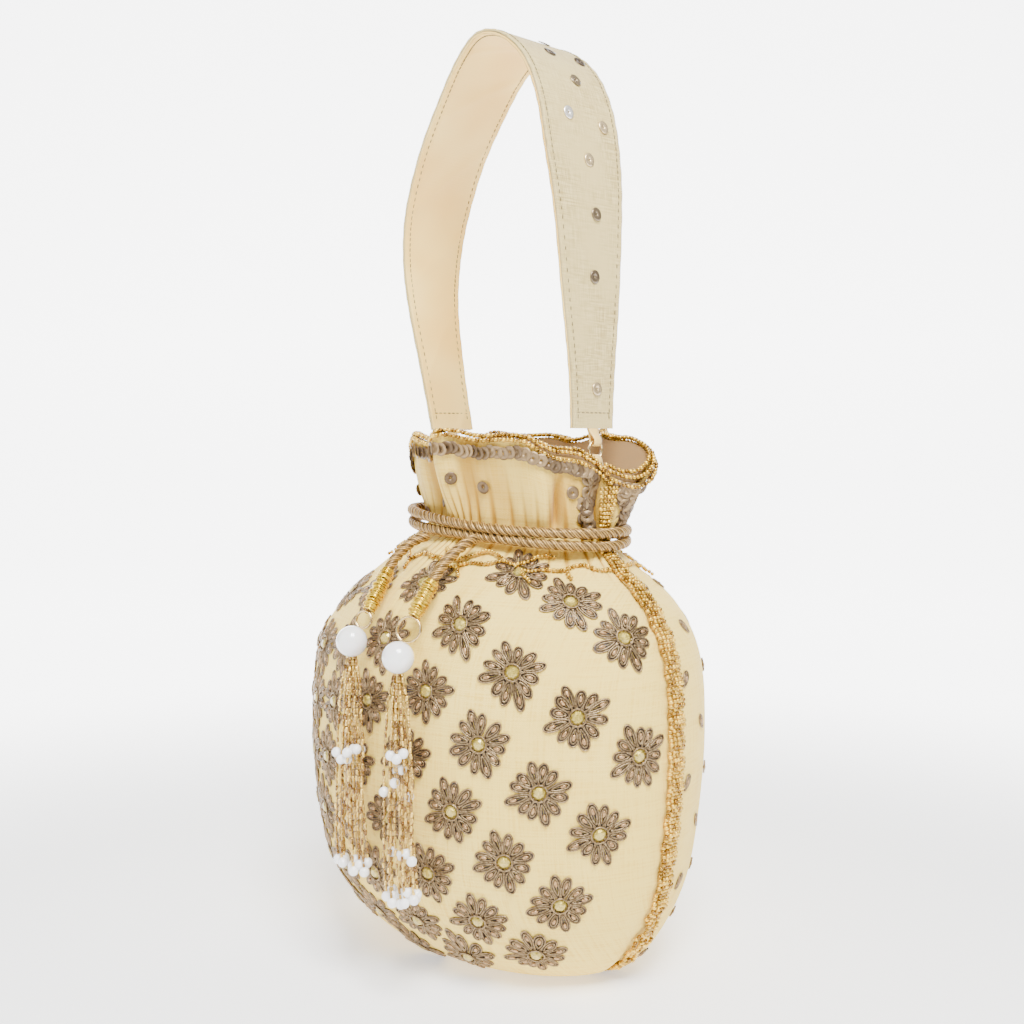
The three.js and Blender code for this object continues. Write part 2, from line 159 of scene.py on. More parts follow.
class Value:
    """A socket of a material. Arithmetic on it adds Math nodes, and node() adds any other node."""

    def __init__(self, socket):
        self.socket = socket
        self.tree = socket.id_data

    def node(self, kind, sockets, output=0, **settings):
        """A new node of a kind: its settings, then a value or a link for each of its sockets."""
        made = self.tree.nodes.new(kind)
        for key, setting in settings.items():
            setattr(made, key, setting)
        for key, value in sockets.items():
            if isinstance(value, Value):
                self.tree.links.new(value.socket, made.inputs[key])
            else:
                made.inputs[key].default_value = value
        return Value(made.outputs[output])

    def math(self, operation, *others):
        """A Math node on these values."""
        return self.node("ShaderNodeMath", dict(enumerate(others)), operation=operation)

    def __add__(self, other):
        return self.math("ADD", self, other)

    def __radd__(self, other):
        return self.math("ADD", other, self)

    def __sub__(self, other):
        return self.math("SUBTRACT", self, other)

    def __rsub__(self, other):
        return self.math("SUBTRACT", other, self)

    def __mul__(self, other):
        return self.math("MULTIPLY", self, other)

    def __rmul__(self, other):
        return self.math("MULTIPLY", other, self)

    def sine(self):
        return self.math("SINE", self)

    def part(self, name):
        """X, Y or Z of a vector."""
        return self.node("ShaderNodeSeparateXYZ", {0: self}, output="XYZ".index(name))

    def stretched(self, x, y, z):
        """A vector with each of its parts multiplied."""
        return self.node("ShaderNodeVectorMath", {0: self, 1: (x, y, z)}, operation="MULTIPLY")

    def noise(self, scale, detail=2.0, roughness=0.5):
        """Smooth noise of 0 to 1 at this place."""
        return self.node("ShaderNodeTexNoise", {
            "Vector": self, "Scale": scale, "Detail": detail, "Roughness": roughness})

    def between(self, low, high):
        """0 where it is at or below low, 1 where it is at or above high, and smooth between."""
        return self.node("ShaderNodeMapRange", {"Value": self, "From Min": low, "From Max": high},
                         interpolation_type="SMOOTHSTEP")

    def blend(self, none, full):
        """The colour none where it is 0, and the colour full where it is 1."""
        colours = [c if isinstance(c, Value) else (*c, 1) for c in (none, full)]
        return self.node("ShaderNodeMix", {0: self, 6: colours[0], 7: colours[1]}, output=2,
                         data_type="RGBA")


def new_finish(name, **constants):
    """A material, the object's coordinates and the cloth's own coordinates in it, and a function
    that links what varies over the surface to the sockets of its shader."""
    material = bpy.data.materials.new(name)
    material.use_nodes = True
    tree = material.node_tree
    shader = tree.nodes["Principled BSDF"]
    for key, value in constants.items():
        shader.inputs[key.replace("_", " ")].default_value = value
    coordinates = tree.nodes.new("ShaderNodeTexCoord")

    def paint(bump=None, depth=0.1, **sockets):
        """Links values to sockets by name; bump is a height whose whole range is depth deep."""
        if bump is not None:
            sockets["Normal"] = bump.node("ShaderNodeBump", {
                "Height": bump, "Strength": 1.0, "Distance": depth * MM})
        for key, value in sockets.items():
            tree.links.new(value.socket, shader.inputs[key.replace("_", " ")])

    return material, Value(coordinates.outputs["Object"]), Value(coordinates.outputs["UV"]), paint


def attribute(value, name):
    """A number stored on the points of the mesh."""
    return value.node("ShaderNodeAttribute", {}, output=2, attribute_name=name)


def rope_finish():
    """Taupe and gold metallic thread. The threads lie in each ply against the twist of the rope. Its
    colour holds painted shade: near black between the threads, and darker still in the valleys
    between the plies.
    """
    material, place, cloth, paint = new_finish("metallic_rope", Roughness=0.42, Metallic=0.45)
    along, round_it = cloth.part("X"), cloth.part("Y")
    thread = (round_it * (2 * math.pi * 9) - along * (2 * math.pi / 1.15)).sine() * 0.5 + 0.5
    speck = place.noise(1400, 3)
    valley = attribute(place, "valley")
    # painted light and shade: the threads' ridges light, the grooves between them near black
    lit = thread * 0.65 + speck * 0.5
    colour = lit.between(0.1, 0.95).blend((0.09, 0.042, 0.008), (0.55, 0.33, 0.09))
    # painted shade: the colour goes near black in the valleys between the plies
    paint(bump=thread * 0.7 + speck * 0.3, depth=0.22,
          Base_Color=valley.between(0.35, 1.0).blend(colour, (0.05, 0.028, 0.01)))
    return material


metallic_rope = rope_finish()


def twisted(name, path, reference, closed=False, sides=24, step=0.55):
    """Rope along a path. At an angle round it its surface is at the radius less a valley between
    plies: 1 - |cos(plies / 2 x (angle - twist))|, and the twist is one turn for each pitch."""
    line, along = spaced(path, step, closed)
    ahead, side, up = across_path(line, reference, closed)
    length = along[-1] + (step if closed else 0)
    turns = max(1, round(length / ROPE_PITCH)) / length
    angle = np.linspace(0, 2 * np.pi, sides, endpoint=False)
    lobe = np.cos(PLIES / 2 * (angle - 2 * np.pi * turns * along[:, None]))
    valley = 1 - np.abs(lobe)
    radius = ROPE / 2 * (1.06 - 0.36 * valley**1.3)
    if not closed:
        ends = np.minimum(along, length - along)
        radius *= np.sqrt(np.clip(ends / 0.8, 0, 1))[:, None]
    points = line[:, None] + radius[..., None] * (
        np.cos(angle)[None, :, None] * side[:, None] + np.sin(angle)[None, :, None] * up[:, None])
    faces, rows, columns = grid(len(line), sides, wrap_rows=closed, wrap_columns=True)
    uv = np.stack([rows * (length / (len(line) - (not closed))), columns / sides], axis=-1)
    made = piece(name, points, faces, metallic_rope, uv=uv, values={"valley": valley},
                 merge=not closed)
    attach(made, "root")
    return made, line


tails = {}
for side, tail in TAILS.items():
    route = through(tail["route"] + [tail["whipping"][1]], np.linspace(0, 1, 60))
    made, line = twisted(f"rope_tail_{side}", route, (0, -1, 0.3))
    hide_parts(f"drawstring_tail_{side}")
    tails[side] = (made, line)


# ---- front and back panels ----
# Two round pieces of cream silk, sewn together at the sides and under the bottom, and gathered by
# the drawstring. Above it their free edges stand up as a frill, with a slit at each side seam.
POUCH = np.array([   # height, half-width seam to seam, half-depth
    [0, 54, 32], [5, 66, 42], [15, 75, 52], [36, 84, 65.5], [64, 89, 70],
    [95, 91, 70], [125, 88.5, 66], [145, 75.5, 59.5], [160, 58, 45], [171, 46.5, 29.5]])
NECK_Z, NECK_HALF_WIDTH, NECK_HALF_DEPTH = POUCH[-1]
RIM_Z, RIM_HALF_WIDTH, RIM_HALF_DEPTH = 209, 49.5, 38
NECK_LEAN, SHOULDER_Z, NECK_POINT, NECK_TILT = 8, 120, 1.7, 3.5
SLIT_DEPTH, SLIT_START = 16, 33
BACK_FLARE, FLARE_TURN, FLARE_SPREAD = 12, 118, 17
FURROW, FURROW_TOP = 2.8, 40


def smooth(x, low, high):
    """0 up to low, 1 from high on, and an even S between them."""
    share = np.clip((x - low) / (high - low), 0, 1)
    return share * share * (3 - 2 * share)


def bell(x, spread):
    """1 at 0, falling off evenly on both sides over about the spread."""
    return np.exp(-((x / spread) ** 2))


def skin(turn, row, off=0.0):
    """Even outline of the cloth. turn is 0 at the middle of the front and 90 degrees at the near
    seam. row runs from -1 at the bottom seam to 0 at the edge of the flat bottom, 1 at the neck
    and 2 at the rim. The section is a superellipse that points a little more, and leans towards
    the near seam, from the shoulder up; off moves it outwards."""
    turn, row, off = np.broadcast_arrays(turn, row, off)
    up = np.clip(row - 1, 0, None)
    z, a, b = np.moveaxis(through(POUCH, np.clip(row, 0, 1)), -1, 0)
    a = a + (RIM_HALF_WIDTH - NECK_HALF_WIDTH) * up
    b = b + (RIM_HALF_DEPTH - NECK_HALF_DEPTH) * smooth(up, 0, 1)
    z = z + (RIM_Z - NECK_Z) * up
    slump = smooth(z, SHOULDER_Z, NECK_Z)
    power = 2 / (2 + (NECK_POINT - 2) * slump)
    sin, cos = np.sin(turn), np.cos(turn)
    across = (a + off) * np.sign(sin) * np.abs(sin) ** power
    deep = -(b + off) * np.sign(cos) * np.abs(cos) ** power
    beyond = np.clip(np.abs(across) - SLIT_START, 0, None) / (RIM_HALF_WIDTH - SLIT_START)
    flare = BACK_FLARE * up * bell(np.degrees(turn) - FLARE_TURN, FLARE_SPREAD) / math.sqrt(2)
    pull = FURROW * (1 - smooth(z, 8, FURROW_TOP)) * (1 - smooth(np.abs(cos), 0.05, 0.22))
    low = smooth(z, 0, 15)
    deep = deep * np.clip(1 + row, 0, 1)
    under = FURROW * (1 - smooth(np.abs(deep), 2.5, 8.5)) * (row < 0)
    height = z - off * np.clip(1 - z / 20, 0, None) * (row >= 0) + pull * (1 - low)
    return np.stack([
        NECK_LEAN * slump + across + flare - pull * low * np.sign(sin),
        deep + flare,
        np.maximum(height, under) - NECK_TILT * sin * bell(z - NECK_Z, 18)
        - SLIT_DEPTH * beyond**1.5 * up], axis=-1)


def folds(turn, row):
    """How far the gathered cloth stands out of its even outline, and how much painted shade it gets,
    0 to 1: most deep in a fold, with some over all of the frill and just under the rope. There are
    narrow pleats with sharp valleys under the rope, which fade out down the shoulder and just above
    the rope, broad round folds in the frill, one deep fold near the slit of the front, and slight
    pulls over the belly and beside the seams."""
    z = skin(0 * turn, row)[..., 2]
    up = np.clip(row - 1, 0, None)
    below = np.clip(NECK_Z - z, 0, None)
    phase = 27 * turn + 1.9 * np.sin(3 * turn + 0.7) + 1.1 * np.sin(8 * turn)
    pleat = np.abs(np.sin(phase)) ** 0.8 - 0.62
    uneven = 0.75 + 0.25 * np.sin(5 * turn + 1)
    reach = (15 + 7 * np.sin(7 * turn + 2)) * uneven
    narrow = 2.0 * uneven * np.where(up > 0, bell(up, 0.42), np.exp(-((below / reach) ** 1.6)))
    wide_phase = 6.5 * turn + 0.9 * np.sin(2 * turn + 0.4) + 0.5 * up
    wide = np.cos(wide_phase) * (2.6 * smooth(up, 0.0, 0.5)) + 1.3 * np.cos(
        13 * turn + 1.7) * smooth(up, 0, 0.4) * (1 - 0.6 * smooth(up, 0.6, 1))
    deep_fold = -6.0 * bell(np.degrees(turn) - (55 + 5 * up), 3.0)
    deep_fold = deep_fold + 2.2 * bell(np.degrees(turn) - 61, 4)
    deep_fold = deep_fold * bell(up - 0.38, 0.33) * smooth(up, 0.0, 0.25)
    belly = 0.55 * np.cos(9 * turn + 0.6) * smooth(z, 60, 150) * (up == 0)
    belly = belly + 0.35 * np.sin(4 * turn + 0.045 * z) * (up == 0) * smooth(z, 0, 30)
    near_seam = bell(np.cos(turn), 0.10) * (up == 0) * smooth(z, 4, 20)
    pucker = 0.5 * near_seam * np.sin(z * 2 * np.pi / 8.5 + 2 * np.sin(z / 17))
    seam = smooth(np.abs(np.cos(turn)), 0.0, 0.09)
    out = (pleat * narrow + wide + deep_fold + belly) * seam + pucker
    # painted shade mask: deepest in the valleys of the folds, with a base over all of the frill and
    # just under the rope
    painted_shade = np.clip(-(pleat * narrow) / 0.8, 0, 1) + np.clip(-wide / 5.0, 0, 0.5)
    painted_shade = (painted_shade + np.clip(-deep_fold / 9, 0, 0.6)) * seam
    painted_shade = painted_shade + 0.30 * smooth(up, 0, 0.15) + 0.22 * np.exp(-below / 9) * (up == 0)
    return out, np.clip(painted_shade, 0, 1)


def cloth(turn, row, off=0.0):
    """The panels' outer face: the even outline with its folds, and a rim that rises and falls."""
    out, _ = folds(turn, row)
    place = skin(turn, row, out * (row >= 0) + off)
    up = np.clip(row - 1, 0, None)
    wave = 1.3 * np.sin(5 * turn + 0.9) + 1.0 * np.sin(9 * turn + 2.0)
    place[..., 2] += wave * up**2 * smooth(np.abs(np.cos(turn)), 0.0, 0.35)
    return place


def on_cloth(turn, row, height=0.0):
    """Point at a height above the cloth, square to it, and the cloth's unit directions there: round
    the pouch, up it, and outwards, which is square to both slopes of the surface."""
    turn, row, height = np.broadcast_arrays(turn, row, height)
    step = 1e-3
    round_it = unit(cloth(turn + step, row) - cloth(turn - step, row))
    up_it = unit(cloth(turn, row + step) - cloth(turn, row - step))
    out = unit(np.cross(round_it, up_it))
    return cloth(turn, row) + out * height[..., None], round_it, up_it, out


# how far up the front each row of the pouch is, measured along the cloth
PANEL_ROWS = np.concatenate([
    np.linspace(-1, 0, 16)[:-1], np.linspace(0, 1, 132)[:-1], np.linspace(1, 2, 46)])
UP_ROWS = np.linspace(0, 2, 401)
UP_RUN = np.concatenate([[0], np.cumsum(np.linalg.norm(
    np.diff(skin(np.zeros(401), UP_ROWS), axis=0), axis=1))])


def silk_finish():
    """Plain-woven silk with a soft sheen: slightly uneven threads both ways, a few thicker ones, and
    painted shade of a warm ochre in the folds of the gathers, over the frill and just under the
    rope."""
    material, place, cloth_uv, paint = new_finish(
        "cream_silk", Sheen_Weight=0.12, Sheen_Roughness=0.4, Specular_IOR_Level=0.25)
    u, v = cloth_uv.part("X"), cloth_uv.part("Y")
    threads = (u * (2 * math.pi / 0.62)).sine() * (v * (2 * math.pi / 0.62)).sine()
    slub = cloth_uv.stretched(0.05, 1.3, 1).noise(1.0, 3)
    slub_up = cloth_uv.stretched(1.3, 0.05, 1).noise(1.0, 3)
    patches = place.noise(18, 3)
    painted_shade = attribute(place, "painted_shade")
    weave = threads * 0.22 + slub * 0.9 + slub_up * 0.9
    base = patches.between(0.35, 0.7).blend((0.95, 0.68, 0.14), (0.97, 0.715, 0.175))
    base = (slub + slub_up).between(0.95, 1.25).blend(base, (0.88, 0.59, 0.10))
    soft = place.noise(45, 2)
    # painted shade: the colour runs to a warm ochre as the shade mask stored on the points rises
    paint(bump=weave * 0.18 + soft * 0.82, depth=1.1,
          Base_Color=painted_shade.between(0.0, 1.0).blend(base, (0.50, 0.255, 0.022)),
          Roughness=0.62 + 0.12 * slub)
    return material


cream_silk = silk_finish()
for name, middle in (("front", 0.0), ("back", np.pi)):
    share = np.linspace(-1, 1, 301)
    turns = middle + (share + 0.03 * np.sin(np.pi * share)) * (np.pi / 2 - 1e-4)
    turn, row = np.meshgrid(turns, PANEL_ROWS)
    points = cloth(turn, row)
    faces, rows, columns = grid(*turn.shape)
    steps = np.diff(points, axis=1, prepend=points[:, :1])
    sideways = np.cumsum(np.linalg.norm(steps, axis=-1), axis=1)
    upwards = np.interp(row, UP_ROWS, UP_RUN)
    upwards = np.where(row < 0, points[..., 1] * (1 if middle else -1) - NECK_HALF_DEPTH, upwards)
    uv = np.stack([sideways - sideways[:, [150]], upwards], axis=-1).reshape(-1, 2)[faces]
    panel = piece(f"{name}_panel_silk", points, faces, cream_silk, uv=uv,
                  values={"painted_shade": folds(turn, row)[1]})
    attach(panel, "root")
    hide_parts(f"{name}_panel")

# ---- lining ----
# A bag of thin satin inside the pouch, sewn to the panels along the rim. It shows in the mouth,
# where it is darker and greyer than the outside.
LINING_OFF = -2.4


def satin_finish(name, light, dark):
    """Smooth satin: fine threads one way, with broad soft changes of tone."""
    material, place, cloth_uv, paint = new_finish(
        name, Sheen_Weight=0.15, Specular_IOR_Level=0.45, Anisotropic=0.3)
    threads = cloth_uv.stretched(0.04, 2.2, 1).noise(1.0, 2)
    soft = place.noise(22, 2)
    paint(bump=threads, depth=0.07, Base_Color=soft.between(0.3, 0.75).blend(dark, light),
          Roughness=0.40 + 0.2 * threads)
    return material


lining_satin = satin_finish("lining_satin", (0.42, 0.25, 0.09), (0.32, 0.18, 0.06))
for name, middle in (("front", 0.0), ("back", np.pi)):
    turns = middle + np.linspace(-0.5, 0.5, 91) * np.pi
    turn, row = np.meshgrid(turns, np.linspace(0.01, 1.995, 90))
    points = cloth(turn, row, LINING_OFF)
    points[..., 2] += np.clip(3.6 - points[..., 2], 0, None)
    floor = points[0] * [1.0, 0.0, 1.0]
    points = np.concatenate([[floor, 0.5 * floor + 0.5 * points[0]], points])
    faces, rows, columns = grid(len(points), len(turns))
    inside = piece(f"lining_{name}", points, faces, lining_satin,
                   uv=np.stack([columns * 2.6, rows * 2.6], axis=-1), merge=True)
    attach(inside, "root")
    if name == "front":
        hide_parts("lining")

# ---- bead strands over the side seams ----
# Seed beads of gold-lined glass, threaded and sewn in five rows over each side seam and under the
# bottom, up to the foot of the slits. The lower rows have come loose in waves at the corners.
SEED = 1.75


def bead_shape(length, radius, sides=6, rings=(0.55, 1.0, 1.0, 0.55)):
    """A bead along X: rings of a share of its radius, with both ends drawn in to a point."""
    at = np.linspace(-0.5, 0.5, len(rings)) * length
    at = np.concatenate([at[:1], at, at[-1:]])
    wide = np.concatenate([[0], rings, [0]]) * radius
    angle = np.linspace(0, 2 * np.pi, sides, endpoint=False)
    points = np.stack([
        np.repeat(at[:, None], sides, axis=1), wide[:, None] * np.cos(angle),
        wide[:, None] * np.sin(angle)], axis=-1).reshape(-1, 3)
    return points, grid(len(at), sides, wrap_columns=True)[0]


def copies(shape, places, x, y, z, sizes=1.0):
    """One copy of a shape at each place, its own directions turned to x, y and z and its size
    multiplied."""
    points, faces = shape
    sizes = np.broadcast_to(sizes, len(places))[:, None, None]
    axes = np.stack([np.broadcast_to(axis, places.shape) for axis in (x, y, z)], axis=1)
    moved = places[:, None] + sizes * np.einsum("vk,nkc->nvc", points, axes)
    each = np.arange(len(places))[:, None, None] * len(points)
    return moved.reshape(-1, 3), (faces + each).reshape(-1, faces.shape[1])


def together(parts):
    """Several (points, faces) as one."""
    starts = np.cumsum([0] + [len(points) for points, _ in parts[:-1]])
    return (np.concatenate([points for points, _ in parts]),
            np.concatenate([faces + start for (_, faces), start in zip(parts, starts)]))


def shades(shape_points, count, random):
    """One number for each copy, repeated on all of its points."""
    return np.repeat(random.random(count), shape_points)


def strand(path, pitch, shape, out, random, closed=False):
    """Beads threaded on a line, a pitch apart, each turned a little off the line."""
    line, _ = spaced(path, pitch, closed)
    ahead, side, up = across_path(line, out if np.ndim(out) == 1 else np.stack([
        np.interp(np.linspace(0, 1, len(line)), np.linspace(0, 1, len(out)), out[:, k])
        for k in range(3)], axis=1), closed)
    line = line + random.normal(0, 0.09, line.shape)
    ahead = unit(ahead + random.normal(0, 0.13, ahead.shape))
    side = unit(np.cross(up, ahead))
    return copies(shape, line, ahead, side, np.cross(ahead, side),
                  1 + random.normal(0, 0.05, len(line)))


def bead_finish(name, dark, light, rough=0.24):
    """Gold-lined glass beads: no two quite alike in tone, with a clear glossy skin."""
    material, place, _, paint = new_finish(
        name, Metallic=0.88, Coat_Weight=0.35, Coat_Roughness=0.08, Specular_IOR_Level=0.6)
    shade = attribute(place, "shade")
    speck = place.noise(900, 1)
    tone = shade * 0.75 + speck * 0.4
    paint(Base_Color=tone.between(0.1, 1.0).blend(dark, light), Roughness=rough + 0.15 * shade)
    return material


gold_beads = bead_finish("gold_beads", (0.24, 0.11, 0.006), (0.90, 0.585, 0.075))
seed_bead = bead_shape(SEED * 0.86, SEED / 2)
random = np.random.default_rng(3)
TRIM_TOP_ROW = 1.86
strands = []
for side, middle in (("near", np.pi / 2), ("far", -np.pi / 2)):
    for i, across in enumerate((-3.6, -1.8, 0.05, 1.85, 3.6)):
        row = np.linspace(0.0, TRIM_TOP_ROW, 400)
        height, round_it, _, out = on_cloth(middle + 0 * row, row, 1.5)
        z = height[:, 2]
        loose = bell(z - 18, 16) * (0.9 * np.sin(z / 3.1 + 2.1 * i) + 0.5 * np.sin(z / 1.7 + i))
        across_cloth = across * (1 - 0.25 * smooth(z, 150, 175) + 0.5 * smooth(z, 176, 190)) + loose
        across_cloth = across_cloth if side == "near" else -across_cloth
        height = height + np.array([0, 1.0, 0]) * across_cloth[:, None]
        height += out * (0.35 * (abs(across) < 2) + 0.5 * np.abs(loose))[:, None]
        strands.append(strand(height, SEED * 0.93, seed_bead, out, random))
for across in (-3.1, -1.1, 1.0, 3.0):
    x = np.linspace(-50, 50, 120)
    line = np.stack([x, across + 0.5 * np.sin(x / 4 + across), 1.2 + 0.25 * np.sin(x / 3)], axis=1)
    strands.append(strand(line, SEED * 0.93, seed_bead, (0, 0, -1), random))
points, faces = together(strands)
seam_beads = piece("seam_bead_strands", points, faces, gold_beads, values={
    "shade": shades(len(seed_bead[0]), len(points) // len(seed_bead[0]), random)})
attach(seam_beads, "root")
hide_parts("seam_beads")

# ---- rim beads ----
# Three rows of seed beads cover the edge where each panel and its lining meet.
RIM_BEAD = 1.9
rim_bead = bead_shape(RIM_BEAD * 0.85, RIM_BEAD / 2)
for name, middle in (("front", 0.0), ("back", np.pi)):
    random = np.random.default_rng(11)
    strands = []
    turns = middle + np.linspace(-0.494, 0.494, 500) * np.pi
    for off, rise in ((0.75, -0.9), (-0.35, 1.0), (-2.2, 0.9)):
        path = cloth(turns, 2.0, off) + np.array([0, 0, rise + 0.6])
        strands.append(strand(path, RIM_BEAD * 0.93, rim_bead, (0, 0, 1), random))
    points, faces = together(strands)
    beads = piece(f"rim_bead_rows_{name}", points, faces, gold_beads, values={
        "shade": shades(len(rim_bead[0]), len(points) // len(rim_bead[0]), random)})
    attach(beads, "root")
    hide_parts(f"rim_beads_{name}")

# ---- sequins ----
# Cupped discs of bronze foil, each sewn through its middle with a bead of thread. They overlap
# like scales in a row under the rim and down beside the slits, and a few are strewn on the frill.
SEQUIN_RADIUS = 2.65


def disc_shape(radius, hole=0.42, cup=0.28, sides=14):
    """A thin cupped disc round Z with a hole in its middle."""
    at = np.array([hole, radius * 0.62, radius, radius, radius * 0.62, hole])
    up = np.array([0.0, 0.08, cup, cup + 0.22, 0.30, 0.22])
    angle = np.linspace(0, 2 * np.pi, sides, endpoint=False)
    points = np.stack([at[:, None] * np.cos(angle), at[:, None] * np.sin(angle),
                       np.repeat(up[:, None], sides, axis=1)], axis=-1).reshape(-1, 3)
    return points, grid(len(at), sides, wrap_rows=True, wrap_columns=True)[0]


def sequin_finish():
    """Bronze foil behind clear lacquer, from taupe to dark brown, a little scratched."""
    material, place, _, paint = new_finish(
        "sequins", Metallic=0.55, Coat_Weight=0.25, Coat_Roughness=0.2)
    shade = attribute(place, "shade")
    scratch = place.noise(700, 3)
    paint(bump=scratch, depth=0.03, Roughness=0.40 + 0.2 * scratch,
          Base_Color=(shade * 0.8 + scratch * 0.3).between(0.05, 1.0).blend(
              (0.10, 0.058, 0.024), (0.34, 0.225, 0.105)))
    return material


sequins = sequin_finish()
disc = disc_shape(SEQUIN_RADIUS)


def sewn_discs(turn, row, tip, height, random):
    """Sequins on the cloth at these turns and rows, each tipped up on its leading side by the
    slope tip so that it lies on the one before."""
    place, round_it, up_it, out = on_cloth(turn, row, height)
    z = unit(out - tip * round_it + random.normal(0, 0.07, place.shape))
    x = unit(np.cross(up_it, z))
    return copies(disc, place, x, np.cross(z, x), z, 1 + random.normal(0, 0.02, len(place)))


SCATTERED = {   # turn in degrees and row of the sequins strewn on the frill
    "front": ((-62, 1.5), (-40, 1.15), (1, 1.58), (20, 1.52), (41, 1.86), (66, 1.58), (-20, 1.33)),
    "back": ((112, 1.55), (118, 1.28), (150, 1.5), (185, 1.35), (215, 1.6), (245, 1.4))}
for name, middle in (("front", 0.0), ("back", np.pi)):
    random = np.random.default_rng(5)
    turns = middle + np.linspace(-0.455, 0.455, 52) * np.pi
    rows = 1.87 + 0.012 * np.sin(np.arange(52) * 1.7)
    strands = [sewn_discs(turns, rows, 0.13, 0.75, random)]
    for edge in (-1, 1):
        row = np.linspace(1.82, 1.2, 9)
        beside = middle + edge * (np.pi / 2 - np.radians(13 + 2.5 * np.cos(row * 9)))
        strands.append(sewn_discs(beside, row, 0.1, 0.8, random))
        strands.append(sewn_discs((beside - edge * 0.06)[::2], row[::2] - 0.03, 0.1, 0.5, random))
    turn, row = np.array(SCATTERED[name]).T
    strands.append(sewn_discs(np.radians(turn), row, 0.0, 0.35, random))
    points, faces = together(strands)
    made = piece(f"frill_sequins_{name}", points, faces, sequins, values={
        "shade": shades(len(disc[0]), len(points) // len(disc[0]), random)})
    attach(made, "root")
    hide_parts(f"sequin_band_{name}")

# ---- garlands ----
# A wavy line of small gold beads on each shoulder, couched down below the rope. Loose ends of
# its thread carry a few beads.
GARLAND_ROW, GARLAND_WAVE = 0.905, 0.012
small_bead = bead_shape(1.35, 0.8)
for name, middle in (("front", 0.0), ("back", np.pi)):
    random = np.random.default_rng(17)
    turns = middle + np.linspace(-0.42, 0.46, 400) * np.pi
    wave = GARLAND_WAVE * np.cos(10 * (turns - middle) + 0.8) + 0.006 * np.sin(23 * turns)
    place, _, _, out = on_cloth(turns, GARLAND_ROW + wave, 1.0)
    strands = [strand(place, 1.45, small_bead, out, random)]
    place, _, _, out = on_cloth(turns[200:330], 0.93 + 0.02 * np.cos(14 * turns[200:330]), 1.5)
    strands.append(strand(place, 1.45, small_bead, out, random))
    for at in (40, 150, 235, 300, 345):
        row = GARLAND_ROW + wave[at] - np.linspace(0, 0.035, 20)
        place, _, _, out = on_cloth(turns[at] + 0.03 * np.sin(row * 90), row, 1.3)
        strands.append(strand(place, 1.5, small_bead, out, random))
    points, faces = together(strands)
    made = piece(f"garland_beads_{name}", points, faces, gold_beads, values={
        "shade": shades(len(small_bead[0]), len(points) // len(small_bead[0]), random)})
    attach(made, "root")
    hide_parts(f"garland_{name}")

# ---- drawstring round the neck ----
# The same rope lies twice round the gathers, one turn above the other. The turns cross in front,
# where the tails leave, and lie close together at the near seam.
ROPE_CLEAR = ROPE / 2 + 2.3
SEAM_TRIM = 1.6
for name, height, wander in (("upper", 5.1, -1.0), ("lower", 0.8, 1.0)):
    turns = np.linspace(0, 2 * np.pi, 361)[:-1]
    route = np.stack([
        NECK_LEAN + (NECK_HALF_WIDTH + ROPE_CLEAR + SEAM_TRIM) * np.sin(turns),
        -(NECK_HALF_DEPTH + ROPE_CLEAR) * np.cos(turns) + 0.25 * wander * np.sin(5 * turns),
        NECK_Z + height - NECK_TILT * np.sin(turns)
        + 0.35 * wander * np.sin(3 * turns + 0.5)], axis=1)
    made, _ = twisted(f"rope_turn_{name}", route, (0, 0, 1), closed=True)
    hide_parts(f"drawstring_{name}")

# ---- whippings ----
# Bright gold metal thread wound round the end of each tail, close together but not quite even,
# with a few turns crossing on top.
THREAD = 0.6
COILS = (   # share of the whipping where it starts and ends, turns, and radius
    (0, 1, 26, 2.35), (0.08, 0.92, 9, 2.85), (0.9, 0.15, 5, 3.05))


def metal_finish(name, colour, dark, rough):
    """Polished metal, a little uneven in tone and gloss."""
    material, place, _, paint = new_finish(name, Metallic=1.0)
    speck = place.noise(500, 2)
    paint(Base_Color=speck.between(0.2, 0.75).blend(dark, colour), Roughness=rough + 0.12 * speck)
    return material


gold_thread = metal_finish("gold_thread", (0.95, 0.70, 0.06), (0.55, 0.33, 0.01), 0.22)


def wire(path, radius, reference, sides=8, closed=False):
    """Round wire along a path, with rounded ends unless it is closed on itself."""
    ahead, side, up = across_path(path, reference, closed)
    angle = np.linspace(0, 2 * np.pi, sides, endpoint=False)
    thick = np.full(len(path), radius)
    if not closed:
        thick[[0, -1]] = 0
        thick[[1, -2]] *= 0.75
    points = path[:, None] + thick[:, None, None] * (
        np.cos(angle)[None, :, None] * side[:, None] + np.sin(angle)[None, :, None] * up[:, None])
    faces = grid(len(path), sides, wrap_rows=closed, wrap_columns=True)[0]
    return points.reshape(-1, 3), faces


extras = {side: [] for side in TAILS}
for side, tail in TAILS.items():
    start, end = np.array(tail["whipping"], float)
    length = np.linalg.norm(end - start)
    ahead = (end - start) / length
    left = unit(np.cross(ahead, (0, -1, 0.3)))
    front = np.cross(left, ahead)
    coils = []
    for first, last, turns, radius in COILS:
        angle = np.linspace(0, 2 * np.pi * turns, 16 * turns)
        share = np.linspace(first, last, len(angle)) + 0.012 * np.sin(angle / 3.7 + turns)
        out = radius + 0.15 * np.sin(angle / 5) - 0.25 * np.abs(share - 0.5)
        path = start + (share * length)[:, None] * ahead + out[:, None] * (
            np.cos(angle)[:, None] * left + np.sin(angle)[:, None] * front)
        coils.append(wire(path, THREAD / 2, ahead + 1e-3, sides=6))
    points, faces = together(coils)
    made = piece(f"gold_whipping_{side}", points, faces, gold_thread, merge=True)
    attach(made, "root")
    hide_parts(f"whipping_{side}")
    extras[side].append(made)

# ---- tassel rings and pearls ----
# A ring of two turns of gold wire goes through the end of each rope, and holds a large pearl by
# the thread that runs down through it into the fringe.
PEARL = 12.0
RING_WIRE = 0.42
gold_wire = metal_finish("gold_wire", (0.90, 0.70, 0.36), (0.66, 0.46, 0.18), 0.20)


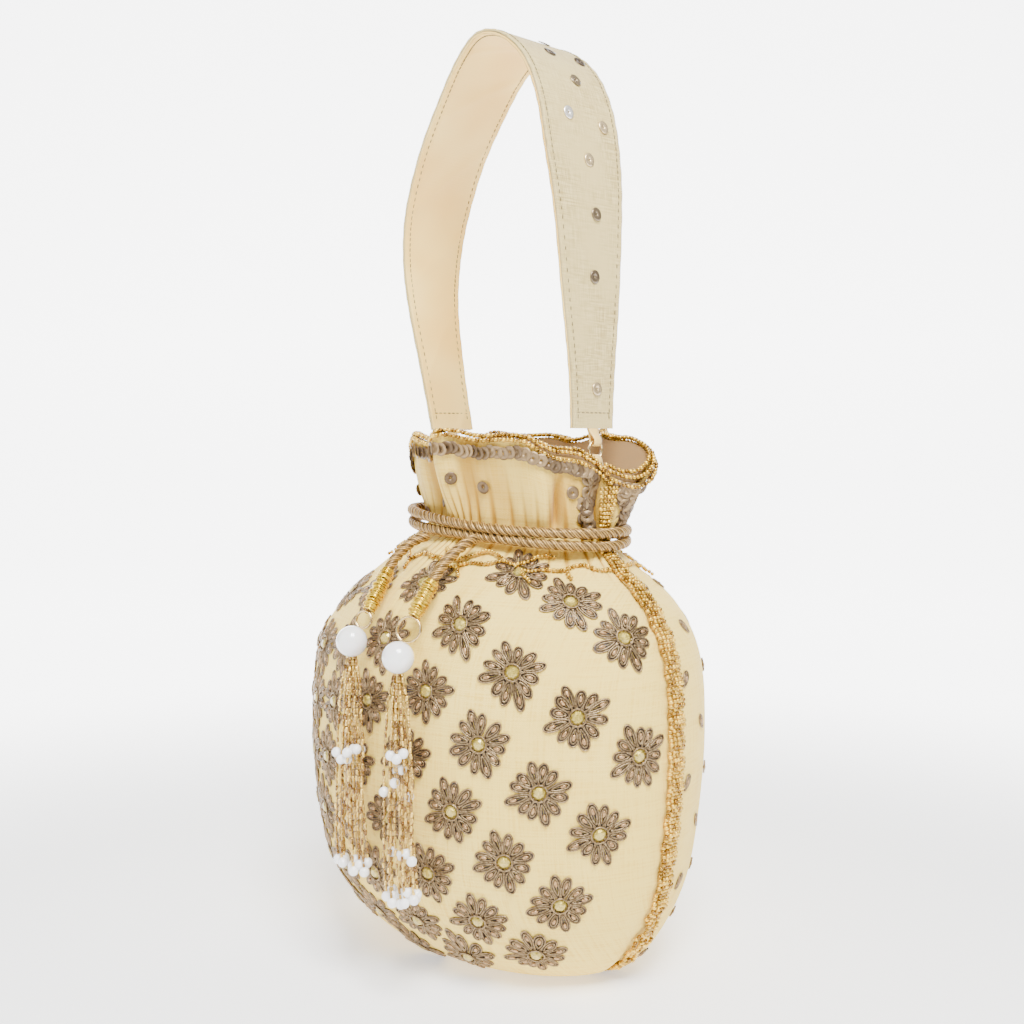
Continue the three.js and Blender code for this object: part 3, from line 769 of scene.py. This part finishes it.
def pearl_finish():
    """Pearl: white with a faint rose and blue bloom under a clear skin."""
    material, place, _, paint = new_finish(
        "pearl", Roughness=0.22, Coat_Weight=0.9, Coat_Roughness=0.05, Subsurface_Weight=0.15,
        Specular_IOR_Level=0.6)
    bloom = place.noise(60, 2)
    paint(Base_Color=bloom.between(0.3, 0.7).blend((0.96, 0.91, 0.90), (0.98, 0.96, 0.92)))
    return material


pearl = pearl_finish()


def ball(radius, rings=24, sides=40):
    """A sphere round Z, closed at both poles."""
    down = np.linspace(0, np.pi, rings + 1)[:, None]
    angle = np.linspace(0, 2 * np.pi, sides, endpoint=False)
    points = radius * np.stack(np.broadcast_arrays(
        np.sin(down) * np.cos(angle), np.sin(down) * np.sin(angle), np.cos(down)), axis=-1)
    return points.reshape(-1, 3), grid(rings + 1, sides, wrap_columns=True)[0]


for side, tail in TAILS.items():
    end, centre = np.array(tail["whipping"][1], float), np.array(tail["pearl"], float)
    to_pearl = unit(centre - end)
    gap = np.linalg.norm(centre - end) - PEARL / 2
    middle = end + to_pearl * gap / 2
    wide = unit(np.cross(to_pearl, (0.5, -1, 0.4)))
    angle = np.linspace(0, 4 * np.pi, 97)[:-1]
    facing = np.cross(wide, to_pearl)
    radius = gap / 2 - 0.2
    path = middle + radius * (np.cos(angle)[:, None] * to_pearl + np.sin(angle)[:, None] * wide)
    path = path + facing * (RING_WIRE * np.sin(angle / 2))[:, None]
    points, faces = wire(path, RING_WIRE, facing, closed=True)
    ring = piece(f"gold_ring_{side}", points, faces, gold_wire)
    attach(ring, "root")
    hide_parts(f"tassel_ring_{side}")
    points, faces = ball(PEARL / 2)
    large = piece(f"large_pearl_{side}", points + centre, faces, pearl, merge=True)
    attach(large, "root")
    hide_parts(f"tassel_pearl_{side}")
    extras[side] += [ring, large]
    rope_end, line = tails[side]
    [c * MM for c in line[0]]
    (line * MM).tolist()

# ---- tassel strings ----
# Fourteen strings of narrow gold bugle beads hang from each pearl, side by side and a little
# uneven. Most carry one small pearl part of the way down, and all end in one.
BUGLE_LENGTH, BUGLE_RADIUS, BUGLE_PITCH = 2.1, 0.52, 2.3
SMALL_PEARL = 3.9
STRINGS = 14
FRINGE = np.array([[0, 2.2], [0.12, 5.0], [0.45, 7.5], [0.85, 8.5], [1, 7.5]])
FRINGE_FLAT = 0.62


def string_finish():
    """Gold-lined bugle beads, and where the mark pearl is 1 the small white pearls among them."""
    material, place, _, paint = new_finish(
        "tassel_strings", Coat_Weight=0.7, Coat_Roughness=0.06, Specular_IOR_Level=0.6)
    shade, white = attribute(place, "shade"), attribute(place, "pearl")
    gold = shade.between(0.0, 1.0).blend((0.22, 0.10, 0.012), (0.90, 0.61, 0.14))
    paint(Base_Color=white.blend(gold, (0.95, 0.94, 0.92)), Metallic=0.72 - 0.72 * white,
          Roughness=0.24 + 0.1 * shade)
    return material


tassel_strings = string_finish()
bugle = bead_shape(BUGLE_LENGTH, BUGLE_RADIUS, sides=6, rings=(0.8, 1.0, 1.0, 0.8))
small_pearl = ball(SMALL_PEARL / 2, rings=8, sides=12)
MID_PEARLS = {"left": (0.43, 0.50), "right": (0.36, 0.55)}
STRING_SEEDS = {"left": 31, "right": 37}
for side, tail in TAILS.items():
    random = np.random.default_rng(STRING_SEEDS[side])
    top = np.array(tail["pearl"], float) - [0, 0, PEARL / 2 - 0.3]
    tip = np.array(tail["tip"], float)
    for i in range(STRINGS):
        down = np.linspace(0, 1, 80) * (1 - 0.07 * random.random())
        around = 2 * np.pi * (i * 0.381966 + 0.03 * np.sin(5 * down + i)) + 0.2 * random.random()
        reach = np.sqrt((i + 0.6) / STRINGS) * np.interp(down, *FRINGE.T)
        x = top[0] + (tip[0] - top[0]) * down + reach * np.cos(around)
        x = x + 0.55 * np.sin(down * 9 + 2.3 * i) * down
        y = top[1] + (tip[1] - top[1]) * np.sin(down * np.pi / 2)
        y = y + FRINGE_FLAT * reach * np.sin(around)
        path = np.stack([x, y, top[2] + (tip[2] - top[2]) * down], axis=1)
        parts = [strand(path, BUGLE_PITCH, bugle, (0, -1, 0), random)]
        line, along = spaced(path, 1.0)
        low, high = MID_PEARLS[side]
        places = [line[-1]]
        if i % 5 < 3:
            at = low + (high - low) * random.random()
            places.append(line[int(at * len(line))])
        if side == "right" and i % 4 == 1:
            places.append(line[int(0.82 * len(line))])
        beads = len(parts[0][0])
        parts.append(copies(small_pearl, np.array(places), (1, 0, 0), (0, 1, 0), (0, 0, 1)))
        points, faces = together(parts)
        white = np.arange(len(points)) >= beads
        shade = np.concatenate([shades(len(bugle[0]), beads // len(bugle[0]), random),
                                np.full(len(points) - beads, 0.5)])
        name = f"tassel_string_{side}_{i + 1}"
        made = piece(name, points, faces, tassel_strings,
                     values={"shade": shade, "pearl": white})
        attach(made, "root")
        along[-1] * MM
        (line * MM).tolist()
        if i == 0:
            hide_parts(f"tassel_fringe_{side}")

# ---- flower motifs ----
# Flowers embroidered on the front in staggered sloping rows. Each petal is two loops of antique
# bronze coiled wire, one inside the other, round an oval bead, and a wire ring holds a stone. A
# near-black sheet under each petal is painted shade between the wires.
FLOWER_CELL = (18.32, 22.41)
FLOWER_TURN = 0.296
PETALS = 12
COILED_WIRE = 0.66


def petal_loop(start, end, half_width, height, points=20):
    """Closed teardrop line in the plane of the cloth: at an angle t its distance from the middle is
    start + (end - start) x h, and its half-width is half_width x sin(t) x h^0.35, where h is
    (1 - cos(t)) / 2."""
    angle = np.linspace(0, 2 * np.pi, points, endpoint=False) + np.pi / points
    far = (1 - np.cos(angle)) / 2
    return np.stack([start + (end - start) * far,
                     half_width * np.sin(angle) * far**0.35, 0 * angle + height], axis=1)


def turned(points, angle):
    """Points turned about Z."""
    c, s = math.cos(angle), math.sin(angle)
    return points @ np.array([[c, s, 0], [-s, c, 0], [0, 0, 1]])


def petal(start, end, half_width, angle):
    """Wires and bead of one petal, or of a single leaf, lying at this angle round the middle, and a
    near-black sheet under it that is painted shade.
    """
    outer = petal_loop(start, end, half_width, 0.42)
    inner = petal_loop(start + 1.6, end - 1.15, half_width * 0.56, 0.46)
    wires = [wire(loop, COILED_WIRE / 2, (0, 0, 1), sides=5, closed=True) for loop in (outer, inner)]
    points, faces = ball(1.0, rings=6, sides=8)
    bead = points * [1.35, half_width * 0.31, 0.55] + [end - 3.2, 0, 0.5]
    # a near-black sheet under the petal: painted shade between its wires
    shadow = turned(np.concatenate([petal_loop(start + 1, end - 1, 0.1, 0.16),
                                    petal_loop(start, end, half_width, 0.10)]), angle)
    return ([(turned(p, angle), f) for p, f in wires], (turned(bead, angle), faces),
            (shadow, grid(2, 20, wrap_columns=True)[0]))


def flower(random):
    """Wires, beads and stone of one flower, and the sheets of painted shade under its petals, in its
    own millimetres: round the pouch, up, and out.
    """
    wires, beads, shadow_sheets = [], [], []
    for k in range(PETALS):
        angle = 2 * np.pi * k / PETALS + random.normal(0, 0.05)
        end = 11.2 + 1.3 * math.cos(4 * angle) + random.normal(0, 0.4)
        loops, bead, shadow_sheet = petal(2.6, end, 2.2 + random.normal(0, 0.12), angle)
        lean = random.normal(0, 0.12)
        wires += [(p + [0, 0, lean] * np.clip(np.hypot(p[:, :1], p[:, 1:2]) / 8, 0, 1), f)
                  for p, f in loops]
        beads.append(bead)
        shadow_sheets.append(shadow_sheet)
    angle = np.linspace(0, 2 * np.pi, 20, endpoint=False)
    ring = np.stack([3.1 * np.cos(angle), 3.1 * np.sin(angle), 0 * angle + 0.95], axis=1)
    wires.append(wire(ring, COILED_WIRE / 2 * 1.1, (0, 0, 1), sides=5, closed=True))
    return together(wires), together(beads), stone_shape(2.55), together(shadow_sheets)


def stone_shape(radius, sides=8):
    """A cut stone with a flat top and eight crown facets; no two facets share a corner."""
    angle = np.linspace(0, 2 * np.pi, sides, endpoint=False)
    low, high = [np.stack([r * radius * np.cos(angle + shift), r * radius * np.sin(angle + shift),
                           0 * angle + z], axis=1)
                 for r, z, shift in ((1.0, 0.55, 0.0), (0.55, 1.55, math.pi / sides))]
    top = np.repeat([[0, 0, 1.6]], sides, axis=0)
    after = np.roll(np.arange(sides), -1)
    corners = np.concatenate([
        np.stack([low, low[after], high], axis=1), np.stack([low[after], high[after], high], axis=1),
        np.stack([high, high[after], top], axis=1)])
    return corners.reshape(-1, 3), np.arange(len(corners) * 3).reshape(-1, 3)


def laid_on(turn, row, local):
    """Points given in millimetres round the pouch, up it and above it, counted from a point of the
    cloth, as points in space."""
    step = 1e-3
    round_by = np.linalg.norm(skin(turn + step, row) - skin(turn - step, row)) / (2 * step)
    up_by = np.linalg.norm(skin(turn, row + step) - skin(turn, row - step)) / (2 * step)
    return on_cloth(turn + local[:, 0] / round_by, row + local[:, 1] / up_by, local[:, 2])[0]


def flower_places():
    """Turn and row of each flower: a staggered lattice, tilted and a little bent, as it was drawn
    on the flat cloth before the bag was gathered."""
    places = []
    c, s = math.cos(FLOWER_TURN), math.sin(FLOWER_TURN)
    for row_number in range(-1, 8):
        for column in range(-11, 11):
            if (column + row_number) % 2 == 0:
                continue
            x = column * FLOWER_CELL[0] * (1 + 0.028 * column)
            y = -row_number * FLOWER_CELL[1] + 0.152 * column**2
            u = 54.4 - 1.06 * (row_number - 2) ** 2 + c * x - s * y
            v = 162.0 + s * x + c * y
            row = np.interp(v, UP_RUN, UP_ROWS)
            turns = np.linspace(-np.pi / 2, np.pi / 2, 181)
            run = np.cumsum(np.linalg.norm(
                np.diff(skin(turns, row), axis=0, prepend=skin(turns[:1], row)), axis=1))
            turn = np.interp(u + run[90], run, turns)
            under_seam = turn > np.radians(58) and v < 45
            if 12 < v < 184 and abs(turn) < np.radians(82) and not under_seam:
                places.append((turn, row))
    return places


def motif_finish(name, metal, **constants):
    """Antique bronze coiled wire, its beads, or the sheets of painted shade under them, finely
    ribbed. The tone follows the ribs: painted highlight on them and painted shade between them, over
    a mottled tone of its own.
    """
    material, place, _, paint = new_finish(name, Metallic=metal, **constants)
    speck = place.noise(900, 3)
    ribs = place.noise(2600, 1)
    low, high = MOTIF_TONES[name]
    # painted highlight on the ribs of the bump and painted shade between them, over a mottled tone
    tone = (speck * 0.6 + ribs * 0.5).between(0.3, 0.85)
    paint(bump=ribs, depth=0.12, Base_Color=tone.blend(low, high), Roughness=0.30 + 0.18 * speck)
    return material


# The last tones, near black, are for the sheets of painted shade under the petals.
MOTIF_TONES = {
    "motif_wire": ((0.085, 0.048, 0.018), (0.47, 0.335, 0.18)),
    "motif_beads": ((0.20, 0.095, 0.028), (0.66, 0.40, 0.17)),
    "motif_stone": ((0.28, 0.20, 0.015), (0.78, 0.60, 0.12)),
    "motif_shadow_sheet": ((0.022, 0.011, 0.003), (0.07, 0.035, 0.012))}
motif_wire = motif_finish("motif_wire", 0.8)
motif_beads = motif_finish("motif_beads", 0.5, Coat_Weight=0.5, Coat_Roughness=0.1)
motif_stone = motif_finish("motif_stone", 0.6, Coat_Weight=1.0, Coat_Roughness=0.03)
motif_shadow_sheet = motif_finish("motif_shadow_sheet", 0.0)
random = np.random.default_rng(41)
layers = ([], [], [], [])
for turn, row in flower_places():
    spin = FLOWER_TURN + random.normal(0, 0.06)
    for layer, (points, faces) in zip(layers, flower(random)):
        layer.append((laid_on(turn, row, turned(points, spin)), faces))
# The last layer is the near-black sheets under the petals: painted shade.
for name, layer, finish, slot in (("flower_wire", layers[0], motif_wire, "motif_wire"),
                                  ("flower_beads", layers[1], motif_beads, "motif_wire"),
                                  ("flower_stones", layers[2], motif_stone, "motif_stone"),
                                  ("flower_shadow_sheets", layers[3], motif_shadow_sheet, "motif_wire")):
    points, faces = together(layer)
    made = piece(name, points, faces, finish, smooth=name != "flower_stones")
    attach(made, "root")

# ---- back leaves ----
# The back has only single leaves, each two loops of the same wire round a bead, wide apart.
leaf_wires, leaf_beads = [], []
for j in range(9):
    for i in range(-4, 5):
        v = 16 + 19.5 * j
        turn = math.pi + (i + 0.5 * (j % 2)) * math.radians(20) + random.normal(0, 0.02)
        if abs(turn - math.pi) > math.radians(84):
            continue
        row = np.interp(v + random.normal(0, 1.0), UP_RUN, UP_ROWS)
        loops, bead, _ = petal(-3.0, 3.6, 1.9, 0.0)
        spin = math.pi / 2 + (0.6 if (i + j) % 2 else -0.6)
        leaf_wires += [(laid_on(turn, row, turned(p, spin)), f) for p, f in loops]
        leaf_beads.append((laid_on(turn, row, turned(bead[0], spin)), bead[1]))
for name, layer, finish in (("leaf_wire", leaf_wires, motif_wire),
                            ("leaf_beads", leaf_beads, motif_beads)):
    points, faces = together(layer)
    made = piece(name, points, faces, finish)
    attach(made, "root")

# ---- strap ----
# A stiff strip of two plies, raw silk outside and satin inside, stitched together near both edges
# with dark thread. It stands up from two small rings and swings on them.
STRAP_LINE = np.array([
    [48, 213], [48, 237], [47.4, 262], [46, 296], [43.2, 319], [39, 339], [31, 355], [18, 366],
    [4, 369], [-8, 362], [-20, 348], [-33, 329], [-43, 306], [-46.5, 286], [-45.5, 266],
    [-40, 240], [-33.5, 213]])
STRAP_Y = 2
STRAP_END, STRAP_NEAR, STRAP_FAR = 23, 43, 35
PLY_GAP, PLY = 0.3, 0.9
STITCH, STITCH_PITCH, STITCH_IN = 1.5, 2.5, 2.6


def strap_half(along):
    """Half the width of the strap at a share of its length: it broadens from each end."""
    wide = STRAP_NEAR + (STRAP_FAR - STRAP_NEAR) * smooth(along, 0.3, 0.8)
    return (STRAP_END + (wide - STRAP_END) * smooth(np.minimum(along, 1 - along), 0, 0.28)) / 2


def on_strap(along, across, off):
    """Point on the strap at a share of its length, across from its middle towards the back, and off
    its centre line, positive outside; and its directions along and outwards."""
    along, across, off = np.broadcast_arrays(along, across, off)
    place = through(STRAP_LINE, along)
    ahead = unit(through(STRAP_LINE, along + 1e-3) - through(STRAP_LINE, along - 1e-3))
    middle = np.stack([place[..., 0], 0 * along + STRAP_Y, place[..., 1]], axis=-1)
    forward = np.stack([ahead[..., 0], 0 * along, ahead[..., 1]], axis=-1)
    out = np.stack([ahead[..., 1], 0 * along, -ahead[..., 0]], axis=-1)
    return middle + out * off[..., None] + across[..., None] * [0, 1, 0], forward, out


def raw_silk_finish():
    """Slubbed raw silk: thick and thin threads across and along, with a silver cast."""
    material, place, cloth_uv, paint = new_finish(
        "raw_silk", Sheen_Weight=0.5, Sheen_Roughness=0.35, Specular_IOR_Level=0.4)
    across = cloth_uv.stretched(0.10, 1.9, 1).noise(1.0, 4)
    along = cloth_uv.stretched(1.9, 0.16, 1).noise(1.0, 4)
    patches = place.noise(40, 3)
    tone = across * 0.5 + along * 0.5
    warm = tone.between(0.36, 0.64).blend((0.42, 0.30, 0.10), (0.70, 0.56, 0.245))
    paint(bump=across * 0.5 + along * 0.5, depth=0.25, Roughness=0.48 + 0.2 * tone,
          Base_Color=patches.between(0.35, 0.7).blend(warm, (0.62, 0.48, 0.19)))
    return material


raw_silk = raw_silk_finish()
strap_satin = satin_finish("strap_satin", (0.95, 0.69, 0.215), (0.82, 0.51, 0.115))
STRAP_RUN = np.linalg.norm(
    np.diff(through(STRAP_LINE, np.linspace(0, 1, 400)), axis=0), axis=1).sum()
share = np.linspace(0, 1, 260)
for name, node, inner, outer, finish, slot in (
        ("strap_silk", "strap_outer", PLY_GAP / 2, PLY_GAP / 2 + PLY, raw_silk, "raw_silk"),
        ("strap_inner_satin", "strap_lining", -PLY_GAP / 2 - PLY, -PLY_GAP / 2, strap_satin,
         "satin_lining")):
    half = strap_half(share)[:, None]
    across = np.concatenate([np.linspace(-1, 1, 33), np.linspace(1, -1, 33)])[None]
    off = np.repeat([outer, inner], 33)[None]
    rounded = 1 - 0.012 * (np.arange(66)[None] % 33 % 32 == 0)
    outside = outer if name == "strap_silk" else inner
    away = np.abs(off - outside) < 1e-6
    edge = smooth(np.abs(across), 1 - 5.2 / 17, 1)
    ripple = 0.10 * np.sin(share[:, None] * 260 + 3 * across) * edge
    crease = 0.28 * bell(np.sin(share[:, None] * 31 + 1.4 * across), 0.25)
    sign = 1 if name == "strap_silk" else -1
    groove = -0.14 * bell(np.abs(across) * half - (half - STITCH_IN), 0.55)
    relief = (ripple + groove + crease * (sign < 0) * (np.abs(across) < 0.85)) * away * sign
    points, _, _ = on_strap(share[:, None], across * half * rounded, off + relief)
    faces, rows, columns = grid(len(share), 66, wrap_columns=True)
    uv_across = np.concatenate([np.linspace(-20, 20, 33), np.linspace(20, -20, 33), [-20]])
    uv = np.stack([uv_across[columns], rows * STRAP_RUN / (len(share) - 1)], axis=-1)
    ply = piece(name, points, faces, finish, uv=uv)
    ends = piece(f"{name}_ends", np.concatenate([points[0], points[-1]]),
                 np.array([[i + k * 66, 65 - i + k * 66, 64 - i + k * 66, i + 1 + k * 66]
                           for k in (0, 1) for i in range(32)]), finish)
    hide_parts(node)
    for made in (ply, ends):
        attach(made, "strap")


def thread_finish():
    """Dark greenish brown sewing thread."""
    material, place, _, paint = new_finish("stitch_thread")
    tone = place.noise(700, 2)
    paint(Base_Color=tone.between(0.3, 0.7).blend((0.15, 0.12, 0.05), (0.30, 0.24, 0.11)))
    return material


stitch_thread = thread_finish()
stitch = bead_shape(STITCH, 0.24, sides=5, rings=(0.7, 1.0, 1.0, 0.7))
rows_of_stitches = []
count = int(STRAP_RUN / STITCH_PITCH)
along = np.linspace(0.012, 0.988, count)
for edge in (-1, 1):
    for off, outward in ((PLY_GAP / 2 + PLY + 0.02, 1), (-PLY_GAP / 2 - PLY - 0.02, -1)):
        place, forward, out = on_strap(along, edge * (strap_half(along) - STITCH_IN), off)
        rows_of_stitches.append(copies(stitch, place, forward, np.cross(out * outward, forward),
                                       out * outward))
for end in (0.016, 0.984):
    across = np.arange(-8.6, 8.7, 2.45)
    for off, outward in ((PLY_GAP / 2 + PLY + 0.02, 1), (-PLY_GAP / 2 - PLY - 0.02, -1)):
        place, forward, out = on_strap(end, across, off)
        rows_of_stitches.append(copies(stitch, place, (0, 1, 0), np.cross(out * outward, (0, 1, 0)),
                                       out * outward))
points, faces = together(rows_of_stitches)
stitches = piece("strap_stitches", points, faces, stitch_thread)
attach(stitches, "strap")

# ---- sequins on the strap ----
# Ten flat sequins sewn down the outside of the near leg and over the top, some dark and some that
# catch the light, which is a painted glint in their colour.
STRAP_SEQUINS = [   # share of the strap's length, across from its middle, and how light it is: its own tone, and a painted glint from 0.85 up
    [0.04, 1.5, 0.55], [0.143, 1, 0.2], [0.187, 3, 0.25], [0.243, 1.5, 0.65], [0.287, 12.5, 0.85],
    [0.295, -7, 1.0], [0.348, 3, 0.3], [0.395, 14, 0.1], [0.4, -2, 0.1], [0.44, 4, 0.15]]
flat_disc = disc_shape(2.6, hole=0.45, cup=0.10, sides=24)


def strap_sequin_finish():
    """Foil sequins from dark bronze to pale gold, and near white where the shade value is 0.85 or
    more: a painted glint.
    """
    material, place, _, paint = new_finish("strap_sequins", Metallic=0.7, Coat_Weight=0.3)
    shade = attribute(place, "shade")
    tint = shade.between(0.05, 0.75).blend((0.10, 0.07, 0.045), (0.72, 0.55, 0.30))
    # painted glint: the lightest sequins are blended to near white
    paint(Base_Color=shade.between(0.85, 1.0).blend(tint, (0.95, 0.90, 0.82)),
          Roughness=0.30 + 0.1 * place.noise(300, 2))
    return material


strap_sequins = strap_sequin_finish()
for i, (along, across, tone_and_glint) in enumerate(STRAP_SEQUINS):
    place, forward, out = on_strap(along, across, PLY_GAP / 2 + PLY + 0.18)
    tip = unit(out + 0.06 * forward * (-1) ** i)
    side_way = unit(np.cross(tip, forward))
    points, faces = copies(flat_disc, place[None], np.cross(side_way, tip)[None], side_way[None],
                           tip[None])
    made = piece(f"strap_disc_{i + 1}", points, faces, strap_sequins,
                 values={"shade": np.full(len(points), tone_and_glint)})
    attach(made, "strap")
    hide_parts(f"strap_sequin_{i + 1}")

# ---- rings, tabs and loops at the strap's ends ----
# At each end a narrow folded tab of satin goes down from the strap round a gold ring, and a
# folded loop comes up from the bag round the same ring.
SMALL_RING = 3.7
RING_Z, EYE_TURN = 204.5, 1.65


def folded_strip(eye, end, width):
    """A strip folded round a ring at its eye, whose two layers meet at its end: a drop-shaped loop
    in the plane of the strap, swept across its width. It widens towards its end."""
    eye, end = np.array(eye, float), np.array(end, float)
    length = np.linalg.norm(end - eye)
    ahead = (end - eye) / length
    beside = np.array([-ahead[1], ahead[0]])
    turn = np.linspace(0, 2 * np.pi, 48, endpoint=False)
    far = (1 - np.cos(turn)) / 2
    run = -EYE_TURN + (length + EYE_TURN) * far
    swell = EYE_TURN * np.sin(turn) * (1 - 0.78 * smooth(far, 0.15, 0.75))
    line = eye + run[:, None] * ahead + swell[:, None] * beside
    normal = unit(np.roll(line, 1, axis=0) - np.roll(line, -1, axis=0))[:, ::-1] * [-1, 1]
    spread = width / 2 * (1 + 0.45 * smooth(run / length, 0.1, 1))
    across = np.array([-1, -0.4, 0.4, 1, 1, 0.4, -0.4, -1])
    skin_off = np.array([0.22, 0.30, 0.30, 0.22, -0.22, -0.3, -0.3, -0.22])
    x, z = np.moveaxis(line[:, None] + normal[:, None] * skin_off[None, :, None], -1, 0)
    points = np.stack(np.broadcast_arrays(x, STRAP_Y + spread[:, None] * across, z), axis=-1)
    return points.reshape(-1, 3), grid(len(line), 8, wrap_rows=True, wrap_columns=True)[0]


for side, x, strap_end, wall in (("near", 50, (48.3, 213.6), (53, 195.5)),
                                 ("far", -34, (-33.2, 213.6), (-37, 195.5))):
    angle = np.linspace(0, 2 * np.pi, 48, endpoint=False)
    path = np.stack([0 * angle + x, STRAP_Y + SMALL_RING * np.cos(angle),
                     RING_Z + SMALL_RING * np.sin(angle)], axis=1)
    points, faces = wire(path, 0.5, (1, 0, 0), closed=True)
    ring = piece(f"strap_wire_ring_{side}", points, faces, gold_wire)
    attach(ring, "strap")
    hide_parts(f"strap_ring_{side}")
    points, faces = folded_strip((x, 207.9), strap_end, 4)
    tab = piece(f"strap_folded_tab_{side}", points, faces, strap_satin, merge=True)
    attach(tab, "strap")
    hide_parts(f"strap_tab_{side}")
    points, faces = folded_strip((x, 201.1), wall, 4)
    loop = piece(f"anchor_folded_loop_{side}", points, faces, strap_satin, merge=True)
    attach(loop, "root")
    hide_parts(f"anchor_loop_{side}")

# ---- stage and light ----
# A white table and backdrop, one broad soft light high in front on the right, a weaker one on the
# left and an even white surround, which leave a faint shadow to the lower left. The backdrop also
# glows with painted light, dim near the bag and full away from it.
def light(name, place, target, size, power):
    """A square light of this size in metres, turned to face the target."""
    lamp = bpy.data.objects.new(name, bpy.data.lights.new(name, "AREA"))
    lamp.data.size = size
    lamp.data.energy = power
    lamp.location = place
    away = np.array(place) - target
    lamp.rotation_euler = (
        math.atan2(np.hypot(away[0], away[1]), away[2]), 0,
        math.atan2(away[1], away[0]) + math.pi / 2)
    bpy.context.scene.collection.objects.link(lamp)


def backdrop_finish():
    """Matt white, lit from within by a painted glow that is dim near the bag and full away from it,
    as paper on a light table is.
    """
    material, place, _, paint = new_finish("backdrop_white", Roughness=0.85, Emission_Strength=4.5)
    far = place.node("ShaderNodeVectorMath", {0: place, 1: (0.10, -0.10, 0.0)}, output=1,
                     operation="DISTANCE").between(0.30, 0.75)
    # painted light: the glow, dim near the bag and full away from it
    paint(Base_Color=far.blend((0.93, 0.93, 0.93), (0.95, 0.95, 0.95)),
          Emission_Color=far.blend((0.17, 0.17, 0.17), (1.0, 1.0, 1.0)))
    return material


backdrop_white = backdrop_finish()
profile = np.array([[-700, -0.2], [900, -0.2], [1150, 40], [1290, 160], [1330, 350], [1330, 1150]])
behind, rise = profile.T[:, :, None]
along = np.array([-1150, 1150])
points = np.stack(np.broadcast_arrays(
    math.sqrt(0.5) * (along - behind), math.sqrt(0.5) * (along + behind), rise), axis=-1)
backdrop = piece("backdrop", points, grid(len(profile), 2)[0], backdrop_white)
light("key", (0.55, -0.35, 1.05), np.array([0, 0, 0.15]), 0.5, 37)
light("fill", (-0.45, -0.95, 0.55), np.array([0, 0, 0.15]), 0.9, 5)
world = bpy.data.worlds.new("surround")
world.use_nodes = True
world.node_tree.nodes["Background"].inputs["Color"].default_value = (1, 1, 1, 1)
world.node_tree.nodes["Background"].inputs["Strength"].default_value = 0.42
bpy.context.scene.world = world
